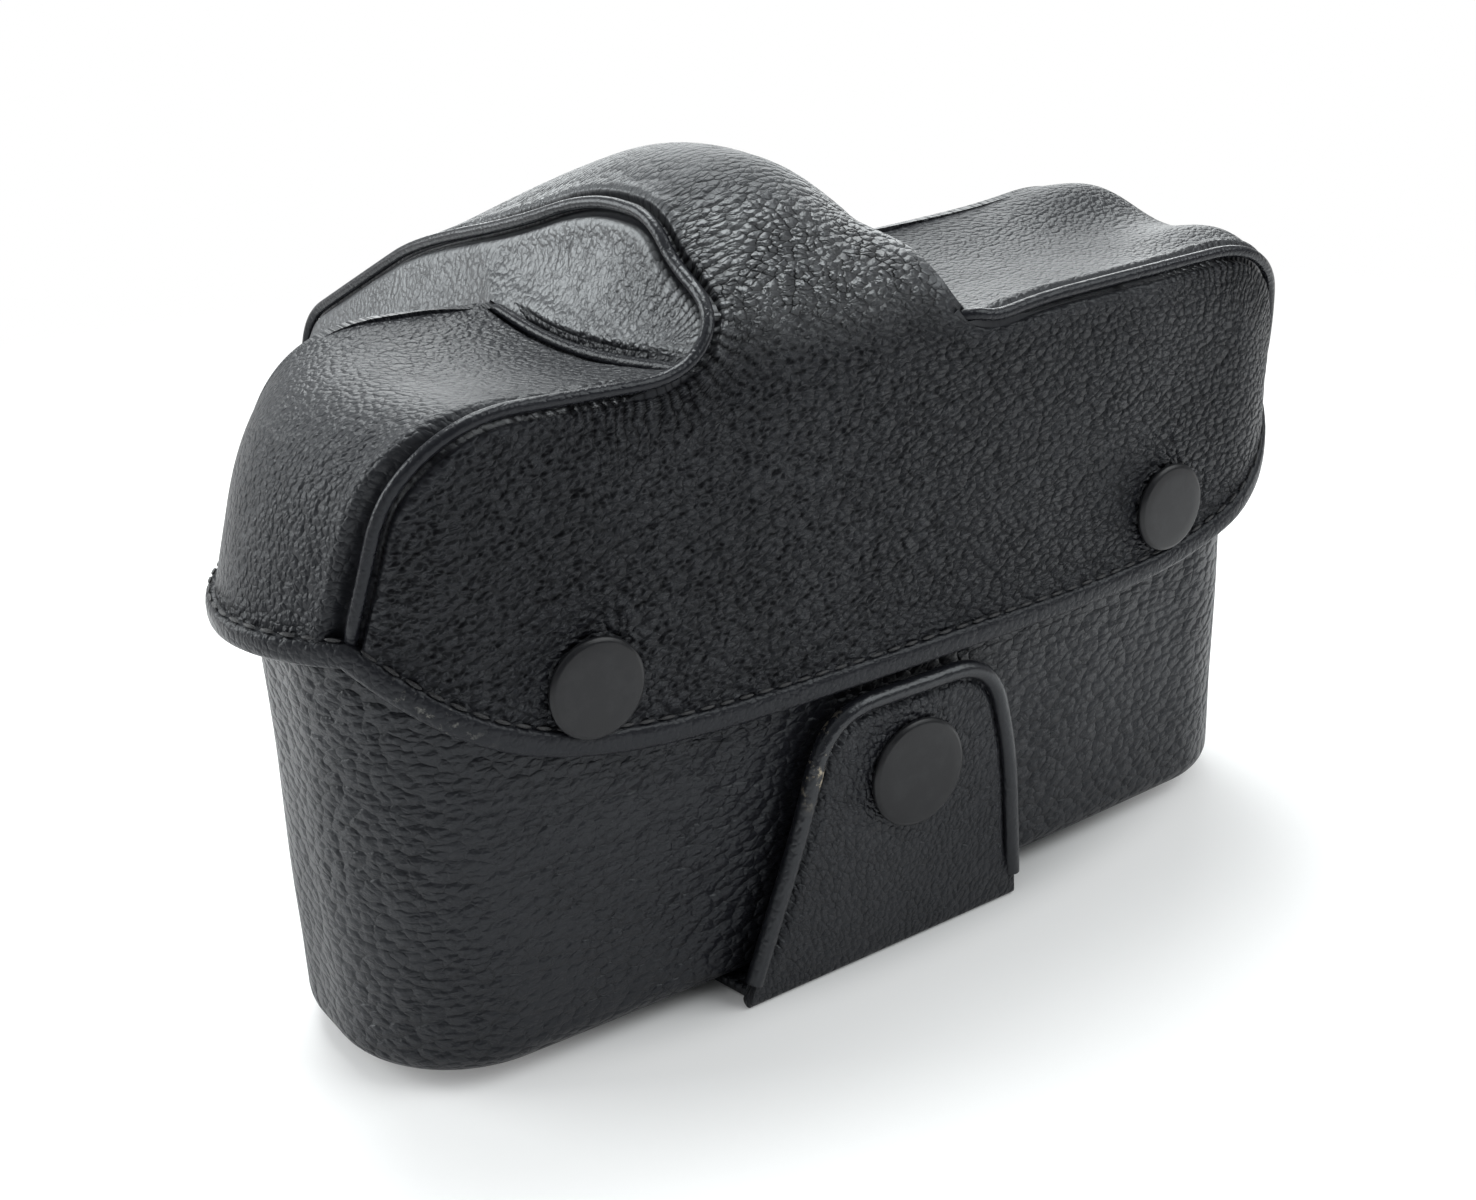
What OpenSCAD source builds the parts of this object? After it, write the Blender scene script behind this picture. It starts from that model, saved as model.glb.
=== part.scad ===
// Ever-ready case of moulded leather for a 35 mm single-lens reflex camera, closed and empty.
// The back flap with its snaps faces -Y, the lens nose points to +Y, and the floor is z = 0.

/* [Lower half] */
// Width of the lower half over its round ends
case_w = 150; // [138:1:180]
// Depth of the lower half, front to back, where its ends begin
case_d = 41; // [36:1:49]
// Radius of the upright corners, seen from above
corner_r = 17.5; // [12:0.5:17.5]
// Outward bow of the long walls at their middle
wall_bow = 1.7; // [0:0.1:2.5]
// Radius of the edge between floor and walls
edge_r = 3.5; // [2:0.5:5]
// Thickness of the moulded leather
leather = 1.5; // [1.2:0.1:1.8]
// Height of the rim along the back and the front
rim_z = 56.6; // [56.2:0.1:58]
// Height of the rim at the ends
rim_end_z = 65; // [62:0.5:68]

/* [Hood] */
// Height of the hood's lower edge along the back flap
hood_edge_z = 42; // [38:0.5:43]
// Height of the hood's lower edge at the ends
hood_end_z = 60; // [56:0.5:61]
// Height of the shoulders beside the finder hump
shoulder_z = 87; // [84:0.5:100]
// Rise of the finder hump above the shoulders
hump_rise = 20; // [16:0.1:23]
// Sideways place of the hump and of the lens, seen from behind
hump_x = -11.5; // [-14:0.5:0]
// Half width between the seams on top of the hump
hump_hw = 14; // [12.4:0.2:16]
// Lean of the hump's ridge to the left, which makes its right slope the longer one
hump_lean = 1.6; // [0:0.1:2]
// Forward reach of the lens nose
nose_y = 84; // [74:1:98]
// Height of the nose's front top edge before rounding
nose_top_z = 78.5; // [74:0.5:80]
// Half width of the nose at its foot
nose_hw = 33; // [31:0.5:35]
// Outward flare of the hood's ends at their lower edge
end_flare = 3.3; // [0:0.1:3.5]
// Sideways shift of the hood's ends on the lower half
hood_shift = 2.6; // [0:0.1:2.8]

/* [Snaps] */
// Diameter of the two caps on the back flap
hood_cap_d = 12.7; // [11:0.1:14]
// Sideways distance of the back flap's snaps from the middle
hood_snap_x = 47.2; // [44:0.2:50]
// Height of the back flap's snaps
hood_snap_z = 52; // [51:0.1:52.2]
// Diameter of the cap on the tongue
tongue_cap_d = 15.4; // [12.5:0.1:16]
// Height of the tongue's snap
tongue_snap_z = 26; // [22:0.5:28]

/* [Strap and tongue] */
// Thickness of the doubled strap leather
strap_t = 1.8; // [1.6:0.1:2]
// Height of the tongue's top edge
tongue_top_z = 38; // [36:0.5:38]
// Height of the seam that holds the strap to the nose
strap_seam_z = 30; // [28:0.5:33]
// Half width of the strap at the tongue's fold
strap_back_hw = 22; // [20:0.5:23]
// Half width of the strap at the nose
strap_front_hw = 19; // [16:0.5:22]
// Half width of the tongue at its fold
tongue_foot_hw = 23.2; // [22:0.2:25]
// Half width of the tongue at its top edge, before rounding
tongue_tip_hw = 13.9; // [12:0.1:15]

/* [Seams] */
// Diameter of the piping in the hood's seams
welt_d = 2.4; // [2:0.1:2.8]
// Diameter of the bound edges
binding_d = 2.6; // [2.2:0.1:3]

/* [Camera screw] */
// Nominal diameter of the camera's thread
screw_d = 6.35; // [6.35, 9.525]
// Sideways place of the screw, clear of the strap
screw_x = 38; // [34:1:42]
// Diameter of the knurled head
screw_head_d = 17; // [15:0.5:20]
// Length of the thread above its bush
screw_reach = 6; // [4.5:0.5:7]

/* [Clearances] */
// Space between the lower half and the hood's back flap
flap_gap = 2.2; // [2:0.1:2.6]
// Space between the lower half and the hood's ends
end_gap = 3.5; // [3.2:0.1:4]
// Running clearance of the screw in its bush, on the radius
screw_fit = 0.06; // [0.03:0.01:0.1]
// Space left between pieces that only lie against each other
lay_gap = 0.1; // [0.05:0.01:0.15]

/* [Hidden] */
$fn = 64;
LEFT = -1;
RIGHT = 1;
hide_black = "#1b1c1e";
pile_black = "#2a2826";
cap_black = "#101011";
board_grey = "#6b6459";
steel = "#b9bcc0";
brass = "#b5975a";

// Lower half
floor_z = strap_t + 0.2;
lining_t = 0.8;
board_t = 1.8;
board_z = floor_z + leather;
lining_z = board_z + board_t;
case_hw = case_w / 2;
case_hd = case_d / 2;
notch_z = 49;
notch_r = 30;

// Hood, outer faces
hood_hw = case_hw + end_gap + leather;
hood_hd = case_hd + flap_gap + leather;
hood_r = corner_r + flap_gap + leather;
back_y = -hood_hd - wall_bow;
crest_z = shoulder_z + hump_rise;
seam_gap = 1.9;
crown_drop = 6.3;
end_seam_x = hood_hw - 5.5;
foot_hw = nose_hw - 10.5;
nose_floor_z = 17;
nose_tip_z = 22;
nose_foot_y = hood_hd + 1.3;

// Snaps, from the wall outward
flange_t = 0.4;
flange_r = 4.2;
knob_h = 1.2;
knob_r = 2.2;
socket_t = 1.3;
socket_r = 4.8;
snap_gap = 0.4;
cap_t = 1.5;
cap_rim_t = 1.15;
shank_r = 1.5;
rivet_t = 0.5;
rivet_r = 3.6;

// Strap and tongue
tongue_y = -case_hd - wall_bow - flap_gap - strap_t / 2;
fold_z = strap_t / 2;
fold_gap = 0.35;
strap_gap = 0.6;
strap_end_y = nose_y + strap_gap + strap_t / 2;
tongue_tip_x = 0;
tongue_root_x = -4.8;

// Points and paths
function unit(v) = v / norm(v);
function mix(a, b, t) = a * (1 - t) + b * t;
function last(list) = list[len(list) - 1];
function slice(list, a, b) = [for (i = [a : b]) list[i]];
function tail(list) = slice(list, 1, len(list) - 1);
function reversed(list) = [for (i = [len(list) - 1 : -1 : 0]) list[i]];
function between(path, u) = mix(path[floor(u)], path[ceil(u)], u - floor(u));
function smooth(t) = let (u = min(1, max(0, t))) u * u * (3 - 2 * u);

// Straight runs between the points, with a length cut off each inner corner and a curve put there instead
function soft_path(points, cuts, steps = 6) = [
    points[0],
    for (i = [1 : len(points) - 2])
        let (v = points[i],
             a = v + unit(points[i - 1] - v) * cuts[i - 1],
             b = v + unit(points[i + 1] - v) * cuts[i - 1])
        for (k = [0 : steps])
            mix(mix(a, v, k / steps), mix(v, b, k / steps), k / steps),
    last(points)
];

function run_lengths(path) = [
    for (i = 0, s = 0; i < len(path); s = s + (i + 1 < len(path) ? norm(path[i + 1] - path[i]) : 0), i = i + 1) s
];
function at_length(path, lengths, s) = [
    for (k = [0 : len(path[0]) - 1])
        lookup(s, [for (i = [0 : len(path) - 1]) [lengths[i], path[i][k]]])
];
function resample(path, steps) =
    let (lengths = run_lengths(path))
    [for (i = [0 : steps]) at_length(path, lengths, last(lengths) * i / steps)];

// Half depth at x of an outline with round ends and bowed long sides
function plan_y(x, hw, hd, r) =
    hd - r + wall_bow * (1 - pow(x / hw, 2)) + sqrt(max(0, r * r - pow(max(0, abs(x) - hw + r), 2)));

// The same outline as a ring of points, inset by a margin
arc_steps = 6;
function plan_ring(hw, hd, r, inset, z) = [
    for (q = [0 : 3], k = [0 : 2 * arc_steps - 1])
        let (quarter = [[1, 1], [-1, 1], [-1, -1], [1, -1]][q],
             a = 90 * q + 90 * min(k, arc_steps) / arc_steps,
             run = max(0, k - arc_steps) / arc_steps,
             along = q % 2 == 0 ? mix(quarter.x, -quarter.x, run) : quarter.x,
             x = along * (hw - r) + (r - inset) * cos(a),
             y = quarter.y * (hd - r) + (r - inset) * sin(a))
        if (k <= arc_steps || q % 2 == 0) [x, y + sign(y) * wall_bow * (1 - pow(x / hw, 2)), z]
];

// The hood's profile over the middle of the hump: back flap, hump, top and front of the nose, as [y, z]
spine = soft_path([
    [back_y, hood_edge_z],
    [back_y, shoulder_z + 1],
    [back_y + 12.5, crest_z - 1.2],
    [6, crest_z + 0.4],
    [0.34 * nose_y, crest_z - 6],
    [nose_y - 2.5, nose_top_z],
    [nose_y, nose_tip_z]
], [9, 8, 9, 12, 9]);
spine_run = [for (s = run_lengths(spine)) s + hood_edge_z];
spine_end = last(spine_run);
rise = [for (i = [0 : len(spine) - 1]) if (spine[i].x < 5) i];
function run_at_z(z) = lookup(z, [for (i = rise) [spine[i].y, spine_run[i]]]);
function run_at_y(y) = lookup(y, [for (i = [8 : len(spine) - 1]) [spine[i].x, spine_run[i]]]);
function spine_at(s) = at_length(spine, spine_run, s);
function spine_normal(s) =
    let (d = unit(spine_at(min(s + 1.5, spine_end)) - spine_at(max(s - 1.5, hood_edge_z)))) [-d.y, d.x];

// Drop of the hood's skin below its profile: the round corners of the flap, then the crown of the hump
function skin_drop(x, s) =
    let (over = smooth((s - shoulder_z - 3) / 14),
         flat = smooth((s - 125) / 50),
         ridge_x = hump_x - hump_lean * (1 - flat),
         corner = plan_y(0, hood_hw, hood_hd, hood_r) - plan_y(x - hood_shift / 2, hood_hw, hood_hd, hood_r))
    corner * (1 - over) + crown_drop * over * pow((x - ridge_x) / hump_hw, 2) * (1 - 0.79 * flat);
function skin(x, s) =
    let (p = spine_at(s) - spine_normal(s) * skin_drop(x, s)) [x, p.x, p.y];

// Seams of the back panel as [x, run along the profile], from the hood's end to the foot of the nose
crown_rows = [7, 7, 19];
function foot_x(side, hw) = hump_x + side * hw + (side == RIGHT ? 2.4 * hump_lean : 0);
function crown_corners(side) = [
    [hood_shift + side * (end_seam_x + end_flare / 2), hood_end_z],
    [hood_shift + side * (end_seam_x - (side == LEFT ? 5 : 7.5)), run_at_z(shoulder_z)],
    [foot_x(side, hump_hw + 1), run_at_z(shoulder_z - 1.5)],
    [hump_x + side * hump_hw, run_at_y(0)],
    [hump_x + side * (hump_hw + 4), run_at_y(28)],
    [hump_x + side * (hump_hw + 9), run_at_y(0.8 * nose_y)],
    [hump_x + side * (hump_hw + 12), spine_end - 40],
    [hump_x + side * (hump_hw + 11), spine_end]
];
function crown_cuts(side) = [14, side == LEFT ? 12 : 10, 12, 12, 8, 8];
function crown_seam(side) =
    let (p = soft_path(crown_corners(side), crown_cuts(side)), m1 = 4, m2 = 11, n = crown_rows)
    concat(resample(slice(p, 0, m1), n[0]),
           tail(resample(slice(p, m1, m2), n[1])),
           tail(resample(slice(p, m2, len(p) - 1), n[2])));
seam_left = crown_seam(LEFT);
seam_right = crown_seam(RIGHT);
crown_start = crown_rows[0] + crown_rows[1];

// Height of the back panel's rows at the middle of the flap
function mid_run(i) =
    i <= crown_rows[0] ? mix(hood_edge_z, shoulder_z - 24, i / crown_rows[0])
    : i <= crown_start ? mix(shoulder_z - 24, seam_left[crown_start].y, (i - crown_rows[0]) / crown_rows[1])
    : seam_left[i].y;
function flap_run(edge, middle, t) = middle + (edge - middle) * pow(abs(t), 5);
flap_columns = 20;
back_grid = [
    for (i = [0 : crown_start + crown_rows[2]]) [
        for (k = [0 : flap_columns])
            let (t = sin(180 * k / flap_columns - 90),
                 a = seam_left[i],
                 b = seam_right[i])
            skin(mix(a.x, b.x, (1 + t) / 2), flap_run(t < 0 ? a.y : b.y, mid_run(i), t))
    ]
];

// Guides of a gusset, each from the hood's lower edge over the shoulder to the foot of the hump
gusset_rows = 14;
function gusset_back(side) =
    let (p = soft_path([
        crown_corners(side)[0],
        crown_corners(side)[1],
        [foot_x(side, foot_hw + 1), run_at_z(shoulder_z - 1)]
    ], [14]))
    [for (q = resample(p, gusset_rows)) skin(q.x, q.y)];
function gusset_middle(side) = resample(soft_path([
    [hood_shift + side * (hood_hw + end_flare), 0, hood_end_z],
    [hood_shift + side * (hood_hw - 5.5), 0, shoulder_z + 0.5],
    [foot_x(side, foot_hw), -2, shoulder_z - 2.5]
], [16]), gusset_rows);
function gusset_front(side) = resample(soft_path([
    [hood_shift + side * (end_seam_x + end_flare / 2), plan_y(end_seam_x, hood_hw, hood_hd, hood_r), hood_end_z],
    [hood_shift + side * (end_seam_x - 6), hood_hd - 7.5, shoulder_z + 2.5],
    [foot_x(side, foot_hw), hood_hd - 6, shoulder_z + 0.5]
], [16]), gusset_rows);
function gusset_grid(side, reach, columns) =
    let (b = gusset_back(side), m = gusset_middle(side), f = gusset_front(side))
    [for (i = [0 : gusset_rows]) [
        for (k = [0 : columns])
            let (v = side * reach * (2 * k / columns - 1), middle = (f[i] + b[i]) / 2)
            m[i] + v * (f[i] - b[i]) / 2 + v * v * (middle - m[i])
    ]];

// Lower seam of the hump's and nose's flank: hump foot, corner with the front wall, foot of the nose
flank_rows = [7, 5, 7];
front_bow = 3.2;
function nose_corner(side) = [hump_x + side * nose_hw, nose_foot_y, nose_floor_z];
function nose_tip(side) = [hump_x + side * (hump_hw + 12), nose_y - 4, nose_tip_z - 1];
function corner_line(side, v) =
    mix(nose_corner(side), last(gusset_front(side)), v) + [0, front_bow * 4 * v * (1 - v), 0];
function flank_foot(side) =
    let (f = last(gusset_front(side)),
         start = skin(foot_x(side, hump_hw + 4.5), run_at_z(shoulder_z - 1)))
    concat(resample(soft_path([start, last(gusset_middle(side)), f], [12]), flank_rows[0]),
           [for (k = [1 : flank_rows[1]]) corner_line(side, 1 - k / flank_rows[1])],
           tail(resample([nose_corner(side), nose_tip(side)], flank_rows[2])));
function flank_grid(side, columns) =
    let (top = [for (q = slice(side == LEFT ? seam_left : seam_right, crown_start, crown_start + crown_rows[2]))
                skin(q.x, q.y)],
         foot = flank_foot(side),
         rows = len(top) - 1)
    [for (i = [0 : rows]) [
        for (k = [0 : columns])
            let (across = k / columns,
                 wide = norm(foot[i] - top[i]),
                 v = mix(seam_gap / wide, 1 - 1 / wide, side == LEFT ? 1 - across : across),
                 bulge = 6 * smooth((i / rows - 0.3) / 0.35) * smooth((1.02 - i / rows) / 0.25) - 1)
            mix(top[i], foot[i], v) + [side * bulge * 4 * v * (1 - v), 0, 0]
    ]];

// Front wall beside the nose, between its seam with the shoulder and its bound lower edge
front_rows = 5;
function front_edge(side) =
    let (corner_x = hood_shift + side * (end_seam_x - 11))
    resample(soft_path([
        gusset_front(side)[0],
        [corner_x, hood_hd + 0.5, mix(hood_end_z, nose_floor_z, 0.08)],
        [mix(corner_x, nose_corner(side).x, 0.55), nose_foot_y, mix(hood_end_z, nose_floor_z, 0.45)],
        nose_corner(side)
    ], [7, 9]), gusset_rows);
function front_grid(side) =
    let (top = gusset_front(side), edge = front_edge(side), inner_end = gusset_rows - 0.35)
    [for (k = [0 : front_rows]) [
        for (j = [0 : gusset_rows - 1])
            let (along = j / (gusset_rows - 1),
                 i = mix(1, inner_end, side == LEFT ? along : 1 - along),
                 v = k / front_rows,
                 bow = front_bow * smooth(i / 5))
            mix(between(edge, i), between(top, i), v) + [0, bow * 4 * v * (1 - v), 0]
    ]];

// Sheet of leather with its grid of points on the outer face: columns run to the right, rows go up
module sheet(grid, thickness, depth = 0) {
    rows = len(grid) - 1;
    columns = len(grid[0]) - 1;
    wide = columns + 1;
    count = wide * (rows + 1);
    function normal(i, k) = unit(cross(
        grid[i][min(k + 1, columns)] - grid[i][max(k - 1, 0)],
        grid[min(i + 1, rows)][k] - grid[max(i - 1, 0)][k]));
    function layer(d) = [for (i = [0 : rows], k = [0 : columns]) grid[i][k] - d * normal(i, k)];
    function at(i, k) = i * wide + k;
    function wall(a, b) = [[a, b, b + count], [a, b + count, a + count]];
    polyhedron(
        points = concat(layer(depth), layer(depth + thickness)),
        faces = [
            for (i = [0 : rows - 1], k = [0 : columns - 1])
                let (a = at(i, k), b = at(i, k + 1), d = at(i + 1, k), e = at(i + 1, k + 1))
                each [[a, d, e], [a, e, b],
                      [a + count, b + count, e + count], [a + count, e + count, d + count]],
            for (k = [0 : columns - 1])
                each concat(wall(at(0, k), at(0, k + 1)), wall(at(rows, k + 1), at(rows, k))),
            for (i = [0 : rows - 1])
                each concat(wall(at(i + 1, 0), at(i, 0)), wall(at(i, columns), at(i + 1, columns)))
        ]);
}

// Piping along a path of points
module cord(path, d, sides = 8) {
    n = len(path);
    ahead = [for (i = [0 : n - 1]) unit(path[min(i + 1, n - 1)] - path[max(i - 1, 0)])];
    first = unit(cross(ahead[0], [0.3, 0.5, 0.8]));
    across = [
        for (i = 0, v = first; i < n;
             v = i + 1 < n ? unit(v - ahead[i + 1] * (v * ahead[i + 1])) : v, i = i + 1) v
    ];
    polyhedron(
        points = [
            for (i = [0 : n - 1], k = [0 : sides - 1])
                let (a = 360 * k / sides)
                path[i] + d / 2 * (cos(a) * across[i] + sin(a) * cross(ahead[i], across[i]))
        ],
        faces = [
            [for (k = [0 : sides - 1]) k],
            [for (k = [sides - 1 : -1 : 0]) (n - 1) * sides + k],
            for (i = [0 : n - 2], k = [0 : sides - 1])
                let (a = i * sides + k, b = i * sides + (k + 1) % sides)
                each [[a, a + sides, b + sides], [a, b + sides, b]]
        ]);
}

// Solid between rings of points, stacked upward
module stack(rings) {
    n = len(rings[0]);
    top = len(rings) - 1;
    polyhedron(
        points = [for (ring = rings) each ring],
        faces = [
            [for (k = [0 : n - 1]) k],
            [for (k = [n - 1 : -1 : 0]) top * n + k],
            for (i = [0 : top - 1], k = [0 : n - 1])
                let (a = i * n + k, b = i * n + (k + 1) % n)
                each [[a, a + n, b + n], [a, b + n, b]]
        ]);
}

// Tray walls down to a floor, with a round lower edge
module tray_block(inset, z, r) {
    stack([
        for (a = [0 : 22.5 : 90])
            plan_ring(case_hw, case_hd, corner_r, inset + r * (1 - sin(a)), z + r * (1 - cos(a))),
        plan_ring(case_hw, case_hd, corner_r, inset, rim_end_z + 10)
    ]);
}

// What lies above the rim: level along the front and the back, rising to the ends
module above_rim(drop) {
    span = case_hw + 5;
    rise_from = case_hw - corner_r - 2;
    rim = [
        for (k = [-20 : 20])
            let (x = span * k / 20, up = smooth((abs(x) - rise_from) / (corner_r - 1)))
            [x, mix(rim_z, rim_end_z, up) - drop]
    ];
    translate([0, 40, 0])
        rotate([90, 0, 0])
            linear_extrude(80)
                polygon(concat(rim, [[span, rim_end_z + 20], [-span, rim_end_z + 20]]));
}

module lens_notch(r) {
    translate([hump_x, 0, notch_z])
        rotate([-90, 0, 0])
            cylinder(h = 60, r = r);
    translate([hump_x - r, 0, notch_z])
        cube([2 * r, 60, 60]);
}

// Moves a piece drawn outward along +Z from the origin onto a wall of the back
function wall_turn(x, hw) = atan(2 * wall_bow * x / (hw * hw));
module on_tray(x, z) {
    translate([x, -plan_y(x, case_hw, case_hd, corner_r), z])
        rotate([90, 0, wall_turn(x, case_hw)])
            children();
}
module on_flap(x, z) {
    translate([x, -plan_y(x, hood_hw, hood_hd, hood_r), z])
        rotate([90, 0, wall_turn(x, hood_hw)])
            children();
}
module on_tongue() {
    translate([tongue_tip_x, tongue_y - strap_t / 2, tongue_snap_z])
        rotate([90, 0, 0])
            children();
}

// Snap parts, drawn outward along +Z from the face that they sit on
module stud(wall_r) {
    cylinder(h = flange_t, r = wall_r);
    neck_r = knob_r - 0.3;
    top = flange_t + knob_h;
    rotate_extrude()
        polygon([[0, 0], [neck_r, 0], [neck_r, flange_t + 0.3], [knob_r, flange_t + 0.6],
                 [knob_r, top - 0.3], [knob_r - 0.4, top], [0, top]]);
}
module post() {
    depth = leather + lining_t + 2 * lay_gap;
    translate([0, 0, -depth - rivet_t])
        cylinder(h = rivet_t, r = rivet_r);
    translate([0, 0, -depth - rivet_t])
        cylinder(h = depth + rivet_t, r = shank_r);
}
module socket() {
    difference() {
        cylinder(h = socket_t, r = socket_r);
        translate([0, 0, -1])
            cylinder(h = socket_t + 2, r = knob_r + snap_gap);
    }
}
module cap(d) {
    r = d / 2;
    rotate_extrude()
        polygon(concat(
            [[0, lay_gap / 2], [r - 0.5, lay_gap / 2], [r, 0.45], [r, cap_rim_t - 0.25], [r - 0.25, cap_rim_t]],
            [for (k = [0 : 4]) [(r - 0.8) * (1 - k / 4), mix(cap_rim_t, cap_t, 1 - pow(1 - k / 4, 2))]]));
    translate([0, 0, -leather])
        cylinder(h = leather + cap_rim_t / 2, r = shank_r);
}
module snap_hole() {
    translate([0, 0, -8])
        cylinder(h = 16, r = shank_r + lay_gap);
}

module lower_shell() {
    color(hide_black)
        difference() {
            tray_block(0, floor_z, edge_r);
            tray_block(leather, floor_z + leather, edge_r - leather);
            above_rim(0);
            lens_notch(notch_r);
            on_tray(-hood_snap_x, hood_snap_z) snap_hole();
            on_tray(hood_snap_x, hood_snap_z) snap_hole();
            on_tray(tongue_tip_x, tongue_snap_z) snap_hole();
            translate([screw_x, 0, floor_z - 1])
                cylinder(h = 6, r = bush_r + lay_gap);
        }
}

module lower_lining() {
    skin_gap = leather + lay_gap;
    color(pile_black)
        difference() {
            tray_block(skin_gap, lining_z + lay_gap, 1.5);
            tray_block(skin_gap + lining_t, lining_z + lay_gap + lining_t, 1);
            above_rim(1.2);
            lens_notch(notch_r + 0.8);
            on_tray(-hood_snap_x, hood_snap_z) snap_hole();
            on_tray(hood_snap_x, hood_snap_z) snap_hole();
            on_tray(tongue_tip_x, tongue_snap_z) snap_hole();
            translate([screw_x, 0, floor_z - 1])
                cylinder(h = 12, r = bush_r + bush_flange + 3 * lay_gap);
        }
}

module base_board() {
    inset = leather + 2.5;
    color(board_grey)
        difference() {
            stack([
                plan_ring(case_hw, case_hd, corner_r, inset, board_z + lay_gap),
                plan_ring(case_hw, case_hd, corner_r, inset, board_z + board_t - lay_gap)
            ]);
            translate([screw_x, 0, floor_z - 1])
                cylinder(h = 12, r = bush_r + lay_gap);
        }
}

// Centre line and half width of the strap, from its seam on the nose to the fold under the tongue
strap_route = resample(soft_path([
    [strap_end_y, strap_seam_z],
    [strap_end_y, nose_tip_z - 4],
    [case_hd + 3, fold_z],
    [tongue_y + strap_t / 2 + fold_gap, fold_z]
], [5, 5]), 28);
function strap_middle(y) = mix(tongue_root_x, hump_x, min(1, (y - tongue_y) / (2 * case_hd)));
function strap_hw(y) = mix(strap_back_hw, strap_front_hw, smooth((y + case_hd) / (2 * case_hd)));
module strap() {
    outer = [
        for (i = [0 : len(strap_route) - 1])
            let (p = strap_route[i],
                 d = unit(strap_route[min(i + 1, len(strap_route) - 1)] - strap_route[max(i - 1, 0)]))
            [p.x, p.y, -d.y, d.x]
    ];
    grid = [
        for (q = reversed(outer)) [
            for (t = [-1, -0.5, 0, 0.5, 1])
                [strap_middle(q[0]) + t * strap_hw(q[0]), q[0], q[1]] + [0, q[2], q[3]] * strap_t / 2
        ]
    ];
    color(hide_black)
        sheet([for (row = grid) reversed(row)], strap_t);
}

module hood_stud_left() { color(steel) on_tray(-hood_snap_x, hood_snap_z) stud(flange_r); }
module hood_stud_right() { color(steel) on_tray(hood_snap_x, hood_snap_z) stud(flange_r); }
module tongue_stud() { color(steel) on_tray(tongue_tip_x, tongue_snap_z) stud(flange_r); }
module hood_post_left() { color(steel) on_tray(-hood_snap_x, hood_snap_z) post(); }
module hood_post_right() { color(steel) on_tray(hood_snap_x, hood_snap_z) post(); }
module tongue_post() { color(steel) on_tray(tongue_tip_x, tongue_snap_z) post(); }

// Camera screw and the bush that it turns in
screw_r = screw_d / 2;
bush_r = screw_r + 1.2;
bush_top_z = lining_z + lining_t + 0.4;
bush_flange = 1.9;
head_z = 0.15;
head_t = floor_z - 0.2 - head_z;
slot_w = 1.4;
slot_depth = 0.8;
groove_w = 0.7;
groove_depth = 0.5;
clip_t = 0.6;
module screw_bush() {
    color(brass)
        translate([screw_x, 0, 0])
            difference() {
                union() {
                    translate([0, 0, floor_z + lay_gap])
                        cylinder(h = bush_top_z - floor_z - lay_gap, r = bush_r);
                    translate([0, 0, lining_z + lay_gap])
                        cylinder(h = bush_top_z - lining_z - lay_gap, r = bush_r + bush_flange);
                }
                cylinder(h = 20, r = screw_r + screw_fit);
            }
}
module camera_screw() {
    knurls = 30;
    color(steel)
        translate([screw_x, 0, 0])
            difference() {
                union() {
                    translate([0, 0, head_z])
                        cylinder(h = head_t, r = screw_head_d / 2);
                    translate([0, 0, head_z])
                        cylinder(h = bush_top_z + screw_reach - head_z, r = screw_r);
                }
                for (k = [0 : knurls - 1])
                    rotate(360 * k / knurls)
                        translate([screw_head_d / 2 + 0.15, 0, 0])
                            cylinder(h = floor_z, r = 0.55);
                translate([-screw_head_d / 2, -slot_w / 2, 0])
                    cube([screw_head_d, slot_w, slot_depth]);
                translate([0, 0, bush_top_z + 2 * lay_gap])
                    difference() {
                        cylinder(h = groove_w, r = screw_r + 1);
                        translate([0, 0, -1])
                            cylinder(h = 3, r = screw_r - groove_depth);
                    }
            }
}
module screw_clip() {
    color(steel)
        translate([screw_x, 0, bush_top_z + 2 * lay_gap + (groove_w - clip_t) / 2])
            difference() {
                cylinder(h = clip_t, r = screw_r + 1.9);
                translate([0, 0, -1])
                    cylinder(h = 3, r = screw_r - groove_depth + lay_gap / 2);
                translate([-slot_w / 2, 0, -1])
                    cube([slot_w, 2 * screw_r + 4, 3]);
            }
}

module back_panel() {
    color(hide_black)
        difference() {
            sheet(back_grid, leather);
            on_flap(-hood_snap_x, hood_snap_z) snap_hole();
            on_flap(hood_snap_x, hood_snap_z) snap_hole();
        }
}

module gusset_left() { color(hide_black) sheet(gusset_grid(LEFT, 0.91, 6), leather); }
module gusset_right() { color(hide_black) sheet(gusset_grid(RIGHT, 0.91, 6), leather); }
module nose_side_left() { color(hide_black) sheet(flank_grid(LEFT, 7), leather); }
module nose_side_right() { color(hide_black) sheet(flank_grid(RIGHT, 7), leather); }
module front_panel_left() { color(hide_black) sheet(front_grid(LEFT), leather); }
module front_panel_right() { color(hide_black) sheet(front_grid(RIGHT), leather); }

module nose_floor() {
    side_trim = leather + 0.6;
    grid = [
        for (i = [0 : 6]) [
            for (k = [0 : 6])
                let (v = mix(0.03, 0.985, i / 6),
                     a = mix(nose_corner(RIGHT), nose_tip(RIGHT), v),
                     b = mix(nose_corner(LEFT), nose_tip(LEFT), v),
                     trim = side_trim / norm(b - a))
                mix(a, b, mix(trim, 1 - trim, k / 6))
        ]
    ];
    color(hide_black) sheet(grid, leather);
}

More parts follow.
